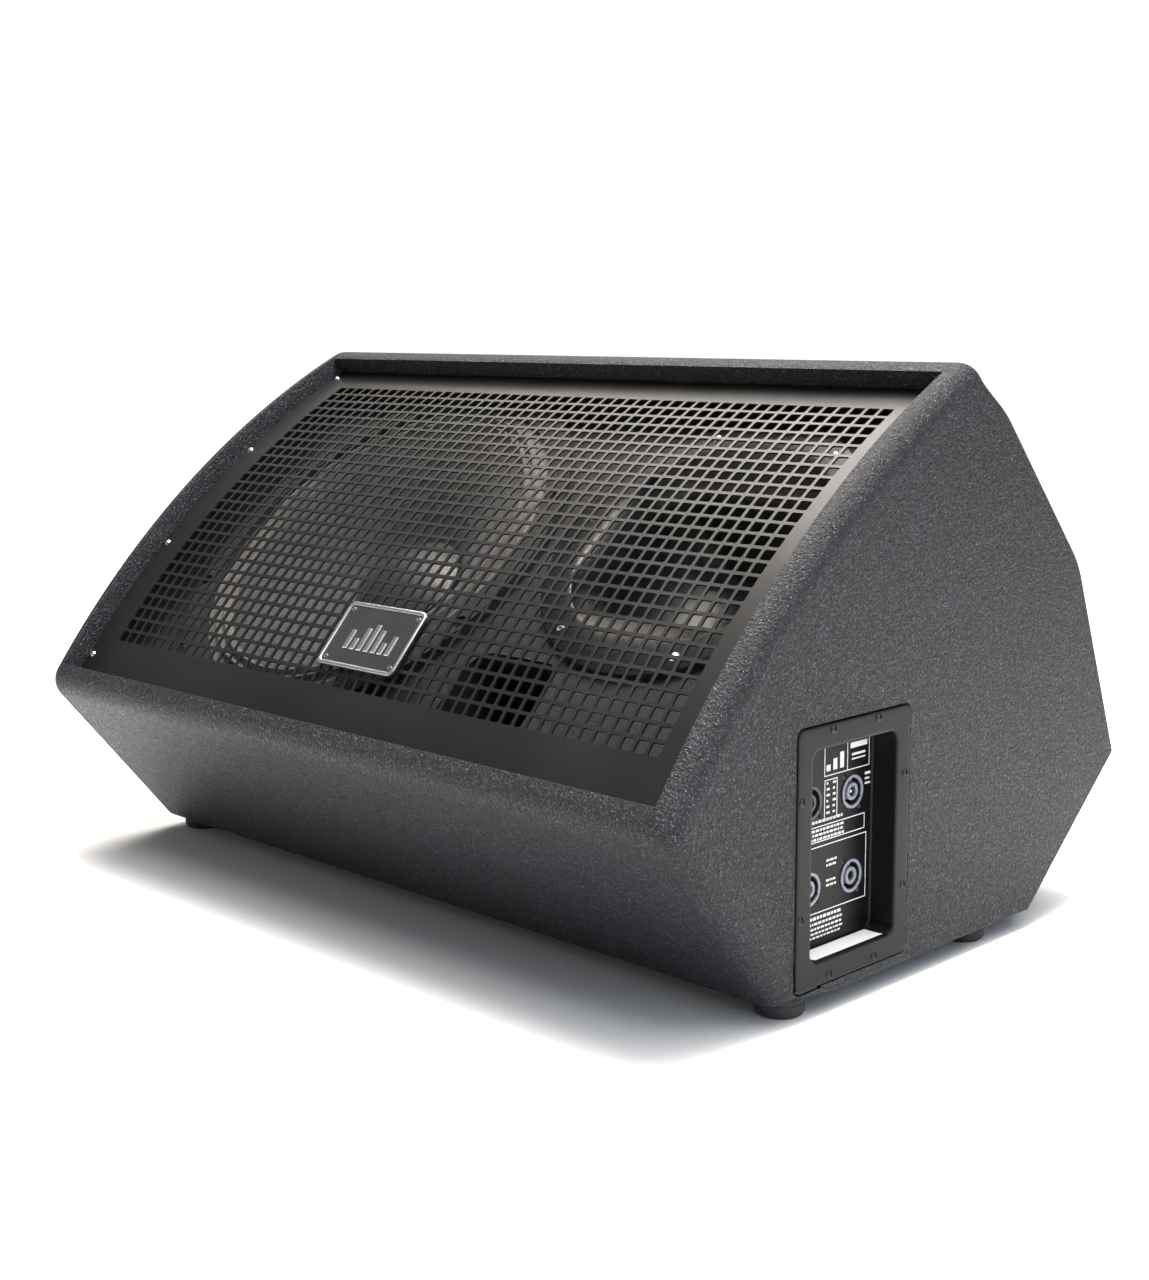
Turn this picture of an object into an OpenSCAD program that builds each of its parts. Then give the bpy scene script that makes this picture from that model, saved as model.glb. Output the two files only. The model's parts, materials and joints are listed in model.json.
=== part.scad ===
// Stage monitor wedge: a two-way floor loudspeaker with a curved steel grille.
// Frame: X across the width, Y towards the rear, Z up, millimetres. The origin is on the floor,
// under the middle of the object's bounding box.
// The cabinet's slanted parts are drawn in the grille's own frame (see grille_frame): u runs up
// along the baffle from the top edge of the grille, h runs out of the baffle towards the listener.

/* [Cabinet] */
// Overall width
body_w = 743; // [600:1:850]
// Side panel thickness
side_t = 18; // [15:0.5:25]
// Upper back panel thickness
top_t = 22; // [15:0.5:28]
// Front kick panel thickness
kick_t = 20; // [15:0.5:25]
// Bottom, rear and lower back panel thickness
back_t = 18; // [15:0.5:25]
// Radius of the rounded top and bottom front edges
lip_r = 20; // [8:0.5:24]
// Radius of the rounded side edges
side_roll = 17; // [6:0.5:17.5]
// Radius of the bend between upper and lower back panel
knee_r = 78; // [20:1:120]
// Angle of the baffle above the floor
tilt = 40.3; // [25:0.1:60]

/* [Grille] */
// Radius of the grille's outer face
grille_r = 829.6; // [500:1:1500]
// Sheet thickness
grille_t = 1.5; // [1:0.1:3]
// How far the wooden lip stands over the grille
lip_h = 18; // [5:0.5:25]
// Distance of a grille screw from the cabinet's middle
grille_screw_x = 349; // [300:1:360]
// Spacing of the grille screws along the arc
grille_screw_pitch = 125.3; // [80:0.1:160]

/* [Badge] */
// Badge width
badge_w = 92; // [50:1:140]
// Badge height
badge_h = 59; // [30:1:100]
// Position along the arc below the first row of holes
badge_s = 290; // [100:1:320]

/* [Drivers] */
// Woofer centre, across
woofer_x = -135; // [-200:1:0]
// Woofer centre, below the top of the baffle
woofer_s = 199; // [150:1:250]
// Woofer frame radius
woofer_r = 194; // [120:1:240]
// Voice coil inner radius
coil_r = 50.8; // [25:0.1:60]
// Height of the dust cap's dome
cap_rise = 19; // [8:0.5:30]
// Horn centre, across
horn_x = 208; // [150:1:260]
// Horn centre, below the top of the baffle
horn_s = 159; // [120:1:220]
// Horn flange radius
horn_r = 133; // [80:1:150]
// Horn mouth radius
mouth_r = 104; // [60:1:120]
// Horn depth behind the baffle face
horn_depth = 95; // [60:1:160]
// Baffle board thickness
baffle_t = 18; // [12:0.5:25]
// Baffle front face behind the grille's top edge
baffle_gap = 20; // [12:0.5:40]

/* [Port] */
// Left edge of the port
port_x0 = 68; // [40:1:120]
// Right edge of the port
port_x1 = 160; // [120:1:220]
// Top edge of the port below the top of the baffle
port_s0 = 288; // [250:1:340]
// Length of the duct behind the baffle
port_len = 110; // [40:1:200]

/* [Connector dish] */
// Plate width
plate_w = 129.5; // [100:0.5:160]
// Plate height
plate_h = 182; // [140:0.5:220]
// Recess width
well_w = 97; // [70:0.5:120]
// Recess height
well_h = 148.5; // [110:0.5:180]
// Recess depth
well_d = 20; // [12:0.5:40]
// Plate centre behind the front bottom edge
dish_y = 76.7; // [60:0.1:120]
// Plate centre above the cabinet's underside
dish_z = 100.4; // [90:0.1:140]
// Half the spacing of the sockets, front to rear
socket_dy = 24.3; // [18:0.1:30]
// Height of the upper sockets above the dish centre
socket_up = 30.6; // [20:0.1:50]
// Depth of the lower sockets below the dish centre
socket_down = 30.9; // [20:0.1:50]
// Socket ring radius
socket_r = 12.2; // [9:0.1:14]

/* [Feet] */
// Foot radius
foot_r = 18; // [12:0.5:25]
// Foot height
foot_h = 14; // [8:0.5:20]
// Foot position, across
foot_x = 345; // [300:1:350]
// Front feet behind the front bottom edge
foot_y0 = 29; // [20:1:60]
// Rear feet behind the front bottom edge
foot_y1 = 256; // [200:1:290]

/* [Hidden] */
$fn = 96;
e = 0.01;
half = body_w / 2;
inner = half - side_t;
// the grille's frame: its origin is the top edge of the grille, in the cabinet's own coordinates
top_y = 211.3;
top_z = 410.6;
// centre of the grille's curve, in (u, h)
arc_u = -200;
arc_h = -sqrt(grille_r * grille_r - arc_u * arc_u);
lip_rad = grille_r + lip_h;
// outer corners of the side view, in (u, h)
cF = [-427.4, 18];
cE = [-427.0, -176.251];
cD = [-188.87, -378.2];
cC = [-22.9, -378.2];
cB = [33, -211.1];
cA = [24, 18];

// plane geometry helpers
function unit(v) = v / norm(v);
function left(v) = [-v[1], v[0]];
// crossing of the line through p along d with the line through q along f
function cross_at(p, d, q, f) =
    let (k = ((q[0] - p[0]) * f[1] - (q[1] - p[1]) * f[0]) / (d[0] * f[1] - d[1] * f[0]))
    p + k * d;
// corner of two walls a-b and b-c moved inward by ta and tb, with the outline going clockwise
function inset(a, b, c, ta, tb) =
    let (d = unit(b - a), f = unit(c - b))
    cross_at(a + ta * left(d), d, c + tb * left(f), f);
// the outline runs F, E, D, C, B, A, which is anticlockwise, so inward is to the left
qE = inset(cF, cE, cD, kick_t, back_t);
qD = inset(cE, cD, cC, back_t, back_t);
qC = inset(cD, cC, cB, back_t, back_t);
qB = inset(cC, cB, cA, back_t, top_t);
out_A = cA + 60 * unit(cA - cB);
out_F = [cF[0], 78];
qA = out_A + top_t * left(unit(cA - cB));
qF = [out_F[0] + kick_t, 78];

// fillet of the front lip into the front face, in (u, h)
fF = [cF[0] + lip_r, arc_h + sqrt(pow(lip_rad - lip_r, 2) - pow(cF[0] + lip_r - arc_u, 2))];
aF = atan2(fF[1] - arc_h, fF[0] - arc_u);
// fillet of the front lip into the upper back face
nA = -left(unit(cA - cB));
aN = atan2(nA[1], nA[0]);
kA = nA * cA - lip_r - nA * [arc_u, arc_h];
aA = aN + acos(kA / (lip_rad - lip_r));
fA = [arc_u, arc_h] + (lip_rad - lip_r) * [cos(aA), sin(aA)];
corner_A = [for (i = [0:12]) let (t = aN + (aA - aN) * i / 12)
    fA + (lip_r + (i == 12 ? 0.02 : 0)) * [cos(t), sin(t)]];
// bend between the two back panels
dK = unit(cB - cC);
gK = unit(cA - cB);
fK = cross_at(cC + knee_r * left(dK), dK, cA + knee_r * left(gK), gK);
tK0 = fK - knee_r * left(dK);
tK1 = fK - knee_r * left(gK);

baf = -baffle_gap;
back = baf - baffle_t;
// the cabinet's own coordinates put the front bottom edge at y = 0, z = 0
// this is the middle of the bounding box in them
far_y = top_y + cC[0] * cos(tilt) - cC[1] * sin(tilt);
near_y = top_y + fF[0] * cos(tilt) - fF[1] * sin(tilt) - lip_r;
mid_y = (far_y + near_y) / 2;
// the dish's screw heads stand 2.54 mm out of the right side
mid_x = 1.27;

// ---- frames ----
// the cabinet's own coordinates, with its front bottom edge at y = 0, z = 0
module cabinet() translate([-mid_x, -mid_y, foot_h]) children();
// local axes: X across, Y up along the baffle (u), Z out of it (h)
module grille_frame() cabinet() translate([0, top_y, top_z]) rotate([tilt, 0, 0]) children();
// draws a (u, h) outline along X from x0 to x1
module across(x0, x1) translate([x0, 0, 0]) rotate([90, 0, 90]) linear_extrude(x1 - x0) children();
// a place on the grille's outer face, s below the first row of holes, Z outward
module on_arc(s) grille_frame() translate([0, arc_u, arc_h])
    rotate([atan2(-arc_h, -arc_u) - 90 + (s + 34) / grille_r * 180 / PI, 0, 0])
    translate([0, 0, grille_r]) children();
module at_woofer() grille_frame() translate([woofer_x, -woofer_s, baf]) children();
module at_horn() grille_frame() translate([horn_x, -horn_s, baf]) children();
// the dish's centre on the right side face: X out of the side, Y rearward, Z up
module at_dish() cabinet() translate([half, dish_y, dish_z]) children();
// the same with Z out of the side, X rearward, Y up
module on_dish(x, y, z) at_dish() translate([z, x, y]) rotate([90, 0, 90]) children();

// ---- shared shapes ----
module rounded(w, h, r) {
    square([w - 2 * r, h], center = true);
    square([w, h - 2 * r], center = true);
    for (a = [-1, 1], b = [-1, 1]) translate([a * (w / 2 - r), b * (h / 2 - r)]) circle(r);
}
module ring(r0, r1, z0, z1) translate([0, 0, z0]) difference() {
    cylinder(r = r1, h = z1 - z0);
    translate([0, 0, -1]) cylinder(r = r0, h = z1 - z0 + 2);
}
// a pan-head screw along Z, head underside at z = 0
module screw(d, length, head_r, head_h) {
    translate([0, 0, -length]) cylinder(d = d, h = length + e);
    difference() {
        rotate_extrude() intersection() {
            translate([0, -head_r * 1.2 + head_h]) circle(head_r * 1.2 + 0.001);
            square([head_r, head_h]);
        }
        for (a = [0, 90]) rotate([0, 0, a]) translate([0, 0, head_h])
            cube([head_r * 1.1, 0.7, head_h], center = true);
    }
}
// a wire through a list of points
module wire(pts, r) for (i = [0:len(pts) - 2]) {
    v = pts[i + 1] - pts[i];
    translate(pts[i]) rotate([0, acos(v[2] / norm(v)), atan2(v[1], v[0])])
        cylinder(r = r, h = norm(v), $fn = 24);
    if (i > 0) translate(pts[i]) sphere(r * 1.12, $fn = 24);
}

// ---- cabinet outline in (u, h) ----
module outline() difference() {
    intersection() {
        polygon(concat([out_F, cE, cD, cC, cB], corner_A,
            [[arc_u, arc_h] + (lip_rad + 40) * [cos(aA), sin(aA)]]));
        translate([arc_u, arc_h]) circle(lip_rad, $fn = 200);
    }
    difference() {
        polygon([fF, fF - [40, 0], fF + [-40, 60], fF + 45 * [cos(aF), sin(aF)]]);
        translate(fF) circle(lip_r);
    }
    difference() {
        polygon([fK, fK + 1.04 * (tK0 - fK), fK + 1.1 * (cB - fK), fK + 1.04 * (tK1 - fK)]);
        translate(fK) circle(knee_r, $fn = 200);
    }
}
module wall(a, b, qb, qa) across(-inner, inner) intersection() {
    polygon([a, b, qb, qa]);
    outline();
}
// what a quarter-round cutter takes off: r is where the outer face is, out to the side face at x = half
module roll_profile(r) difference() {
    translate([r - side_roll, half - side_roll]) square(side_roll + 6);
    translate([r - side_roll, half - side_roll]) circle(side_roll);
}
module roll_about(c, r, a0, a1) translate([0, c[0], c[1]]) rotate([a0 + 90, 0, 0]) rotate([0, 90, 0])
    rotate_extrude(angle = a1 - a0, $fn = 200) roll_profile(r);
// rounds the front edges of the right side, along the lip and down the kick panel
module side_cutter() {
    roll_about([arc_u, arc_h], lip_rad, 70, 112);
    translate([0, cF[0], -260]) linear_extrude(320) difference() {
        translate([half - side_roll, -6]) square(side_roll + 6);
        translate([half - side_roll, side_roll]) circle(side_roll);
    }
}

// ---- cabinet ----
module side_panel() difference() {
    across(inner, half) outline();
    side_cutter();
}
module side_panel_left() color([0.16, 0.16, 0.17]) grille_frame() mirror([1, 0, 0]) side_panel();
module side_panel_right() color([0.16, 0.16, 0.17]) difference() {
    grille_frame() side_panel();
    on_dish(0, 0, -2.6) linear_extrude(10) rounded(plate_w + 2, plate_h + 2, 7);
    on_dish(0, 0, -side_t - 5) linear_extrude(side_t + 10) rounded(well_w + 8, well_h + 8, 10);
    for (a = dish_screws()) on_dish(a[0], a[1], -16) cylinder(r = 1.7, h = 20, $fn = 24);
}
module upper_back_panel() color([0.15, 0.15, 0.16]) grille_frame() wall(out_A, qA, qB, cB);
module lower_back_panel() color([0.15, 0.15, 0.16]) grille_frame() wall(cB, qB, qC, cC);
module rear_panel() color([0.14, 0.14, 0.15]) grille_frame() wall(cC, qC, qD, cD);
module bottom_panel() color([0.13, 0.13, 0.14]) difference() {
    grille_frame() wall(cD, qD, qE, cE);
    for (p = feet()) cabinet() translate([p[0], p[1], -1]) cylinder(r = 2, h = 17, $fn = 24);
}
module kick_panel() color([0.15, 0.14, 0.14]) grille_frame() wall(cE, qE, qF, out_F);
module baffle_board() color([0.1, 0.1, 0.1]) difference() {
    grille_frame() translate([-inner, -407.2, back]) cube([2 * inner, 409.4, baffle_t]);
    at_woofer() translate([0, 0, -baffle_t - 1]) cylinder(r = 177, h = baffle_t + 2);
    at_horn() translate([0, 0, -baffle_t - 1]) cylinder(r = 112, h = baffle_t + 2);
    for (a = woofer_holes()) at_woofer() rotate([0, 0, a]) translate([186, 0, -15])
        cylinder(r = 2.6, h = 16, $fn = 24);
    for (a = horn_holes()) at_horn() rotate([0, 0, a]) translate([121, 0, -13])
        cylinder(r = 2, h = 14, $fn = 24);
    port_hole(back - 1, baf + 1);
}
module port_hole(z0, z1) grille_frame() translate([0, 0, z0]) linear_extrude(z1 - z0) {
    translate([port_x0, -400]) square([port_x1 - port_x0, 400 - port_s0 - 18]);
    translate([port_x0 + 18, -330]) square([port_x1 - port_x0 - 36, 330 - port_s0]);
    for (x = [port_x0 + 18, port_x1 - 18]) translate([x, -port_s0 - 18]) circle(18);
}
// side battens under the grille's edges
module batten(m) difference() {
    grille_frame() across(m > 0 ? inner - 12 : -inner, m > 0 ? inner : 12 - inner) intersection() {
        translate([-404, baf]) square([403, 60]);
        translate([arc_u, arc_h]) circle(grille_r - grille_t, $fn = 200);
    }
    for (i = [0:3]) on_arc(screw_s(i)) translate([m * grille_screw_x, 0, -15])
        cylinder(r = 1.75, h = 20, $fn = 24);
}
module batten_right() color([0.5, 0.4, 0.28]) batten(1);
module batten_left() color([0.5, 0.4, 0.28]) batten(-1);
module port_duct() color([0.45, 0.36, 0.25]) grille_frame() translate([0, 0, back - port_len])
    linear_extrude(port_len) difference() {
        translate([port_x0 - 12, -407]) square([port_x1 - port_x0 + 24, 407 - port_s0 + 12]);
        translate([port_x0, -408]) square([port_x1 - port_x0, 408 - port_s0]);
    }

// ---- grille ----
function screw_s(i) = -22.5 + i * grille_screw_pitch;
module grille_sheet() color([0.25, 0.24, 0.23]) difference() {
    grille_frame() across(-inner + 0.3, inner - 0.3) intersection() {
        difference() {
            translate([arc_u, arc_h]) circle(grille_r, $fn = 200);
            translate([arc_u, arc_h]) circle(grille_r - grille_t, $fn = 200);
        }
        translate([-406.5, -20]) square([407.3, 60]);
    }
    for (i = [0:3], m = [-1, 1]) on_arc(screw_s(i)) translate([m * grille_screw_x, 0, -4])
        cylinder(r = 1.9, h = 8, $fn = 24);
}
module grille_screws() color([0.8, 0.8, 0.8]) for (i = [0:3], m = [-1, 1])
    on_arc(screw_s(i)) translate([m * grille_screw_x, 0, 0.02]) screw(3.2, 14, 3.4, 1.9);
module badge_plate() color([0.12, 0.12, 0.12]) on_arc(badge_s) translate([0, 0, 1.6]) difference() {
    linear_extrude(2.6) rounded(badge_w, badge_h, 6);
    for (m = [-1, 1], n = [-1, 1]) translate([m * (badge_w / 2 - 7), n * (badge_h / 2 - 7), -1])
        cylinder(r = 1.3, h = 6, $fn = 24);
}
module badge_rim() color([0.85, 0.85, 0.84]) on_arc(badge_s) translate([0, 0, 4.2]) linear_extrude(0.9) {
    difference() {
        rounded(badge_w, badge_h, 6);
        rounded(badge_w - 6.4, badge_h - 6.4, 3.4);
    }
    // a plain level-meter motif
    for (i = [-3:3]) translate([i * 8.4, -13]) square([4.6, 8 + 17 * abs(cos(i * 41))]);
}
module badge_pins() color([0.5, 0.5, 0.5]) for (m = [-1, 1], n = [-1, 1])
    on_arc(badge_s) translate([m * (badge_w / 2 - 7), n * (badge_h / 2 - 7), 0.02]) {
        cylinder(r = 1.2, h = 4.4, $fn = 24);
        translate([0, 0, 4.22]) cylinder(r = 2.1, h = 0.7, $fn = 24);
    }

// ---- woofer, drawn with Z out of the baffle ----
function woofer_holes() = [for (i = [0:7]) 22.5 + 45 * i];
module woofer_frame() color([0.09, 0.09, 0.09]) at_woofer() difference() {
    rotate_extrude($fn = 128) polygon([[165, 3], [194, 3], [194, 0.02], [176, 0.02], [173, -6], [160, -44],
        [118, -84], [100, -97], [54, -97], [54, -94], [86, -94], [86, -82], [92, -82], [98, -92], [114, -81],
        [156, -42], [168, -5], [165, 0]]);
    for (i = [0:5]) rotate([0, 0, 60 * i + 30]) translate([100, -38, -82]) cube([80, 76, 70]);
    for (a = woofer_holes()) rotate([0, 0, a]) translate([186, 0, -2]) cylinder(r = 2.9, h = 8, $fn = 24);
}
module woofer_gasket() color([0.07, 0.07, 0.07]) at_woofer() difference() {
    ring(172, 193.5, 3.02, 9);
    for (a = woofer_holes()) rotate([0, 0, a]) translate([186, 0, 2]) cylinder(r = 6, h = 10, $fn = 32);
}
module woofer_bolts() color([0.2, 0.2, 0.2]) for (a = woofer_holes()) at_woofer() rotate([0, 0, a])
    translate([186, 0, 3.04]) {
        translate([0, 0, -17]) cylinder(r = 2.5, h = 17.5, $fn = 24);
        difference() {
            cylinder(r = 4.5, h = 4.5, $fn = 32);
            translate([0, 0, 2]) cylinder(r = 2.4, h = 5, $fn = 6);
        }
    }
function wave(r, r0, r1, z, n, a) = z + a * (0.5 - 0.5 * cos(360 * n * (r - r0) / (r1 - r0)));
module pleats(r0, r1, z0, z1, n, a, t, steps) rotate_extrude($fn = 128) polygon(concat(
    [for (i = [0:steps]) let (r = r0 + (r1 - r0) * i / steps)
        [r, wave(r, r0, r1, z0 + (z1 - z0) * i / steps, n, a) + t]],
    [for (i = [steps:-1:0]) let (r = r0 + (r1 - r0) * i / steps)
        [r, wave(r, r0, r1, z0 + (z1 - z0) * i / steps, n, a)]]));
module woofer_surround() color([0.3, 0.3, 0.3]) at_woofer() {
    pleats(146.3, 163, 2, 3.1, 2, 7, 0.9, 24);
    ring(162.9, 171.5, 3.04, 4);
}
module woofer_cone() color([0.13, 0.13, 0.13]) at_woofer() rotate_extrude($fn = 128)
    polygon([[146, 1.4], [146, 2.6], [140, 1], [110, -15.4], [80, -35.4], [60, -50.6], [51.9, -57.4],
        [51.9, -59.4], [60, -52.4], [80, -37.2], [110, -17.2], [140, -0.9]]);
module woofer_dust_cap() color([0.16, 0.16, 0.16]) at_woofer() translate([0, 0, -48.6])
    rotate_extrude($fn = 128)
    difference() {
        intersection() {
            translate([0, cap_rise - dome_r()]) circle(dome_r(), $fn = 128);
            square([54, 40]);
        }
        translate([0, cap_rise - dome_r()]) circle(dome_r() - 1.2, $fn = 128);
    }
function dome_r() = (53 * 53 + cap_rise * cap_rise) / (2 * cap_rise);
module woofer_former() color([0.75, 0.6, 0.35]) at_woofer() ring(coil_r, coil_r + 0.4, -116, -55);
module woofer_coil() color([0.72, 0.45, 0.2]) at_woofer() ring(coil_r + 0.42, coil_r + 1.5, -114, -96);
module woofer_spider() color([0.55, 0.45, 0.3]) at_woofer() {
    pleats(coil_r + 0.8, 84, -81.4, -81.4, 4, 4, 0.6, 40);
    ring(83.9, 90, -81.98, -80.9);
}
module woofer_front_plate() color([0.5, 0.5, 0.5]) at_woofer() ring(coil_r + 2.4, 91, -107, -97.02);
module woofer_magnet() color([0.2, 0.2, 0.21]) at_woofer() ring(64, 99, -133, -107.02);
module woofer_back_plate() color([0.45, 0.45, 0.45]) at_woofer() rotate_extrude($fn = 128)
    polygon([[26, -143], [90, -143], [93, -140], [93, -133.02], [49.9, -133.02], [49.9, -97.5], [29, -97.5],
        [26, -102]]);
module woofer_terminals() color([0.6, 0.1, 0.1]) at_woofer() for (m = [-1, 1])
    translate([104.5, m * 9, -99]) {
        translate([0, -6, 0]) cube([16, 12, 5]);
        translate([11.5, 0, 4.99]) cylinder(r = 3, h = 5, $fn = 24);
    }

// ---- horn and compression driver, drawn with Z out of the baffle ----
function horn_holes() = [for (i = [0:5]) 60 * i - 5];
function flare(z) = 25 * exp(ln(100 / 25) * pow((z + horn_depth) / horn_depth, 1.25));
module horn_flare() color([0.12, 0.12, 0.12]) at_horn() difference() {
    rotate_extrude($fn = 128) polygon(concat(
        [for (i = [0:12]) [flare(-horn_depth + horn_depth * i / 12), -horn_depth + horn_depth * i / 12]],
        [[mouth_r, 8.4], [mouth_r + 3, 9.6], [mouth_r + 8, 9], [mouth_r + 10, 7.5], [horn_r - 1, 7.5], [horn_r, 6.5],
            [horn_r, 0.02], [110, 0.02], [106, -6]],
        [for (i = [11:-1:1])
            [flare(-horn_depth + horn_depth * i / 12) + 4, -horn_depth + horn_depth * i / 12 - 1]],
        [[29, -horn_depth + 8], [52, -horn_depth + 8], [52, -horn_depth]]));
    for (a = horn_holes()) rotate([0, 0, a]) translate([121, 0, -2]) cylinder(r = 2.7, h = 12, $fn = 24);
}
module horn_screws() color([0.8, 0.8, 0.8]) for (a = horn_holes()) at_horn() rotate([0, 0, a])
    translate([121, 0, 7.52]) screw(3.8, 19, 4.4, 2.6);
module hf_front_plate() color([0.4, 0.4, 0.4]) at_horn() ring(25, 60, -horn_depth - 9, -horn_depth - 0.02);
module hf_magnet() color([0.2, 0.2, 0.21]) at_horn() ring(42, 66, -horn_depth - 27, -horn_depth - 9.02);
module hf_phase_plug() color([0.3, 0.3, 0.3]) at_horn() translate([0, 0, -horn_depth]) difference() {
    translate([0, 0, -29]) cylinder(r = 24.2, h = 19.9);
    translate([0, 0, -31]) cylinder(r = 3, h = 30);
    for (a = [0:60:300]) rotate([0, 0, a]) translate([13, 0, -31]) cylinder(r = 2.4, h = 30, $fn = 24);
}
module hf_back_plate() color([0.4, 0.4, 0.4]) at_horn() ring(26.6, 60, -horn_depth - 35, -horn_depth - 27.02);
module hf_diaphragm() color([0.7, 0.68, 0.6]) at_horn() translate([0, 0, -horn_depth]) rotate_extrude()
    difference() {
        intersection() {
            translate([0, 4.9]) circle(43.4);
            translate([0, -70]) square([24.9, 39.5]);
        }
        translate([0, 4.9]) circle(42.9);
    }
module hf_surround() color([0.75, 0.6, 0.35]) at_horn() ring(26.1, 39.8, -horn_depth - 35.5, -horn_depth - 35.04);
module hf_coil() color([0.72, 0.45, 0.2]) at_horn() ring(25.0, 25.8, -horn_depth - 35, -horn_depth - 28.5);
module hf_rear_cap() color([0.1, 0.1, 0.1]) at_horn() translate([0, 0, -horn_depth]) rotate_extrude()
    polygon([[0, -53], [40, -53], [52, -49], [52, -35.02], [40, -35.02], [40, -45], [0, -45]]);

// ---- connector dish ----
function dish_screws() = [[-26.2, 86.2], [26.2, 86.2], [59.7, 41], [59.7, -41], [26.2, -86.2], [-26.2, -86.2],
    [-59.7, -41], [-59.7, 41]];
function sockets() = [[-socket_dy, socket_up], [socket_dy, socket_up], [-socket_dy, -socket_down],
    [socket_dy, -socket_down]];
module jack_dish() color([0.12, 0.12, 0.12]) difference() {
    union() {
        on_dish(0, 0, -2.58) linear_extrude(3.2) rounded(plate_w, plate_h, 6);
        on_dish(0, 0, -well_d - 3) linear_extrude(well_d + 2) rounded(well_w + 6, well_h + 6, 9);
    }
    on_dish(0, 0, -well_d) linear_extrude(well_d + 5) rounded(well_w, well_h, 8);
    for (a = dish_screws()) on_dish(a[0], a[1], -5) cylinder(r = 1.9, h = 8, $fn = 24);
    for (p = sockets()) on_dish(p[0], p[1], -well_d - 5) cylinder(r = 11.9, h = 8);
    for (p = sockets(), m = [-1, 1]) on_dish(p[0] - m * 9.5, p[1] + m * 12, -well_d - 5)
        cylinder(r = 1.4, h = 8, $fn = 24);
}
module jack_screws() color([0.8, 0.8, 0.8]) for (a = dish_screws()) on_dish(a[0], a[1], 0.64)
    screw(3.2, 15, 3.1, 1.9);
// a round speaker socket: a keyed barrel around a centre post, flange behind the dish
module speaker_socket(p) on_dish(p[0], p[1], -well_d) difference() {
    union() {
        translate([0, 0, -3.04 - 2]) linear_extrude(2) rounded(26, 31, 3);
        translate([0, 0, -30]) cylinder(r = 11.7, h = 30.4);
        translate([0, 0, 0.02]) cylinder(r = socket_r, h = 0.8);
        translate([0, 0, -36]) for (m = [-1, 1]) translate([m * 6 - 2.4, -0.4, 0]) cube([4.8, 0.8, 8]);
    }
    ring(5.8, 10.6, -18, 3);
    translate([0, 0, -8]) cylinder(r = 2.5, h = 12, $fn = 24);
    for (m = [-1, 1]) translate([m * 9.5, -m * 12, -8]) cylinder(r = 1.4, h = 6, $fn = 24);
}
module socket_upper_front() color([0.1, 0.1, 0.1]) speaker_socket(sockets()[0]);
module socket_upper_rear() color([0.75, 0.75, 0.75]) speaker_socket(sockets()[1]);
module socket_lower_front() color([0.75, 0.75, 0.75]) speaker_socket(sockets()[2]);
module socket_lower_rear() color([0.75, 0.75, 0.75]) speaker_socket(sockets()[3]);
module socket_screws() color([0.15, 0.15, 0.15]) for (p = sockets(), m = [-1, 1])
    on_dish(p[0] - m * 9.5, p[1] + m * 12, -well_d + 0.02) screw(2.4, 7, 2.3, 1.2);
module dish_label() color([0.95, 0.95, 0.95]) at_dish()
    translate([-well_d + 0.5, -well_w / 2 + 9, -well_h / 2 + 0.02])
    cube([well_d - 3, well_w - 18, 0.2]);

// ---- crossover and wires, in the cabinet's own coordinates ----
board = [70, 150, back_t + 9.3];
module crossover_board() color([0.5, 0.42, 0.25]) cabinet() translate(board) difference() {
    union() {
        cube([150, 90, 1.8]);
        for (x = [8, 142], y = [8, 82]) translate([x, y, -8.9]) cylinder(r = 4, h = 9, $fn = 32);
    }
    for (x = [8, 142], y = [8, 82]) translate([x, y, -10]) cylinder(r = 1.7, h = 14, $fn = 24);
}
module crossover_coil_low() color([0.72, 0.45, 0.2]) cabinet() translate(board + [40, 45, 1.84])
    ring(13, 28, 0, 24);
module crossover_coil_high() color([0.72, 0.45, 0.2]) cabinet() translate(board + [88, 24, 1.84])
    ring(8, 17, 0, 16);
module crossover_capacitors() color([0.85, 0.75, 0.3]) cabinet() for (i = [0:2])
    translate(board + [80 + 22 * i, 66, 1.84]) cylinder(r = 9, h = 30 - 3 * i, $fn = 48);
// a point of a grille_frame place in the cabinet's own coordinates
function from_grille(x, u, h) =
    [x, top_y + u * cos(tilt) - h * sin(tilt), top_z + u * sin(tilt) + h * cos(tilt)];
module woofer_leads() color([0.5, 0.05, 0.05]) cabinet() wire([board + [20, 20, 4.4], board + [20, 20, 60],
    from_grille(woofer_x + 190, -woofer_s - 20, -170), from_grille(woofer_x + 140, -woofer_s, -125),
    from_grille(woofer_x + 123.5, -woofer_s, -117.5)], 2.4);
module horn_leads() color([0.05, 0.05, 0.4]) cabinet() wire([board + [125, 20, 4.3], board + [125, 20, 70],
    from_grille(horn_x + 20, -horn_s - 40, -205),
    from_grille(horn_x + 20, -horn_s - 10, baf - horn_depth - 56)], 2.2);
module input_leads() color([0.1, 0.1, 0.1]) cabinet() wire([board + [140, 50, 4.4], board + [140, 50, 40],
    [half - 84, dish_y + 63, 74], [half - well_d - 52, dish_y + socket_dy, dish_z - socket_down],
    [half - well_d - 39, dish_y + socket_dy, dish_z - socket_down]], 2.4);
module rear_lining() color([0.75, 0.72, 0.65]) grille_frame() across(-inner + 30, inner - 30)
    translate([qD[0] + 8, qD[1] + 0.3]) square([qC[0] - qD[0] - 30, 22]);

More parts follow.
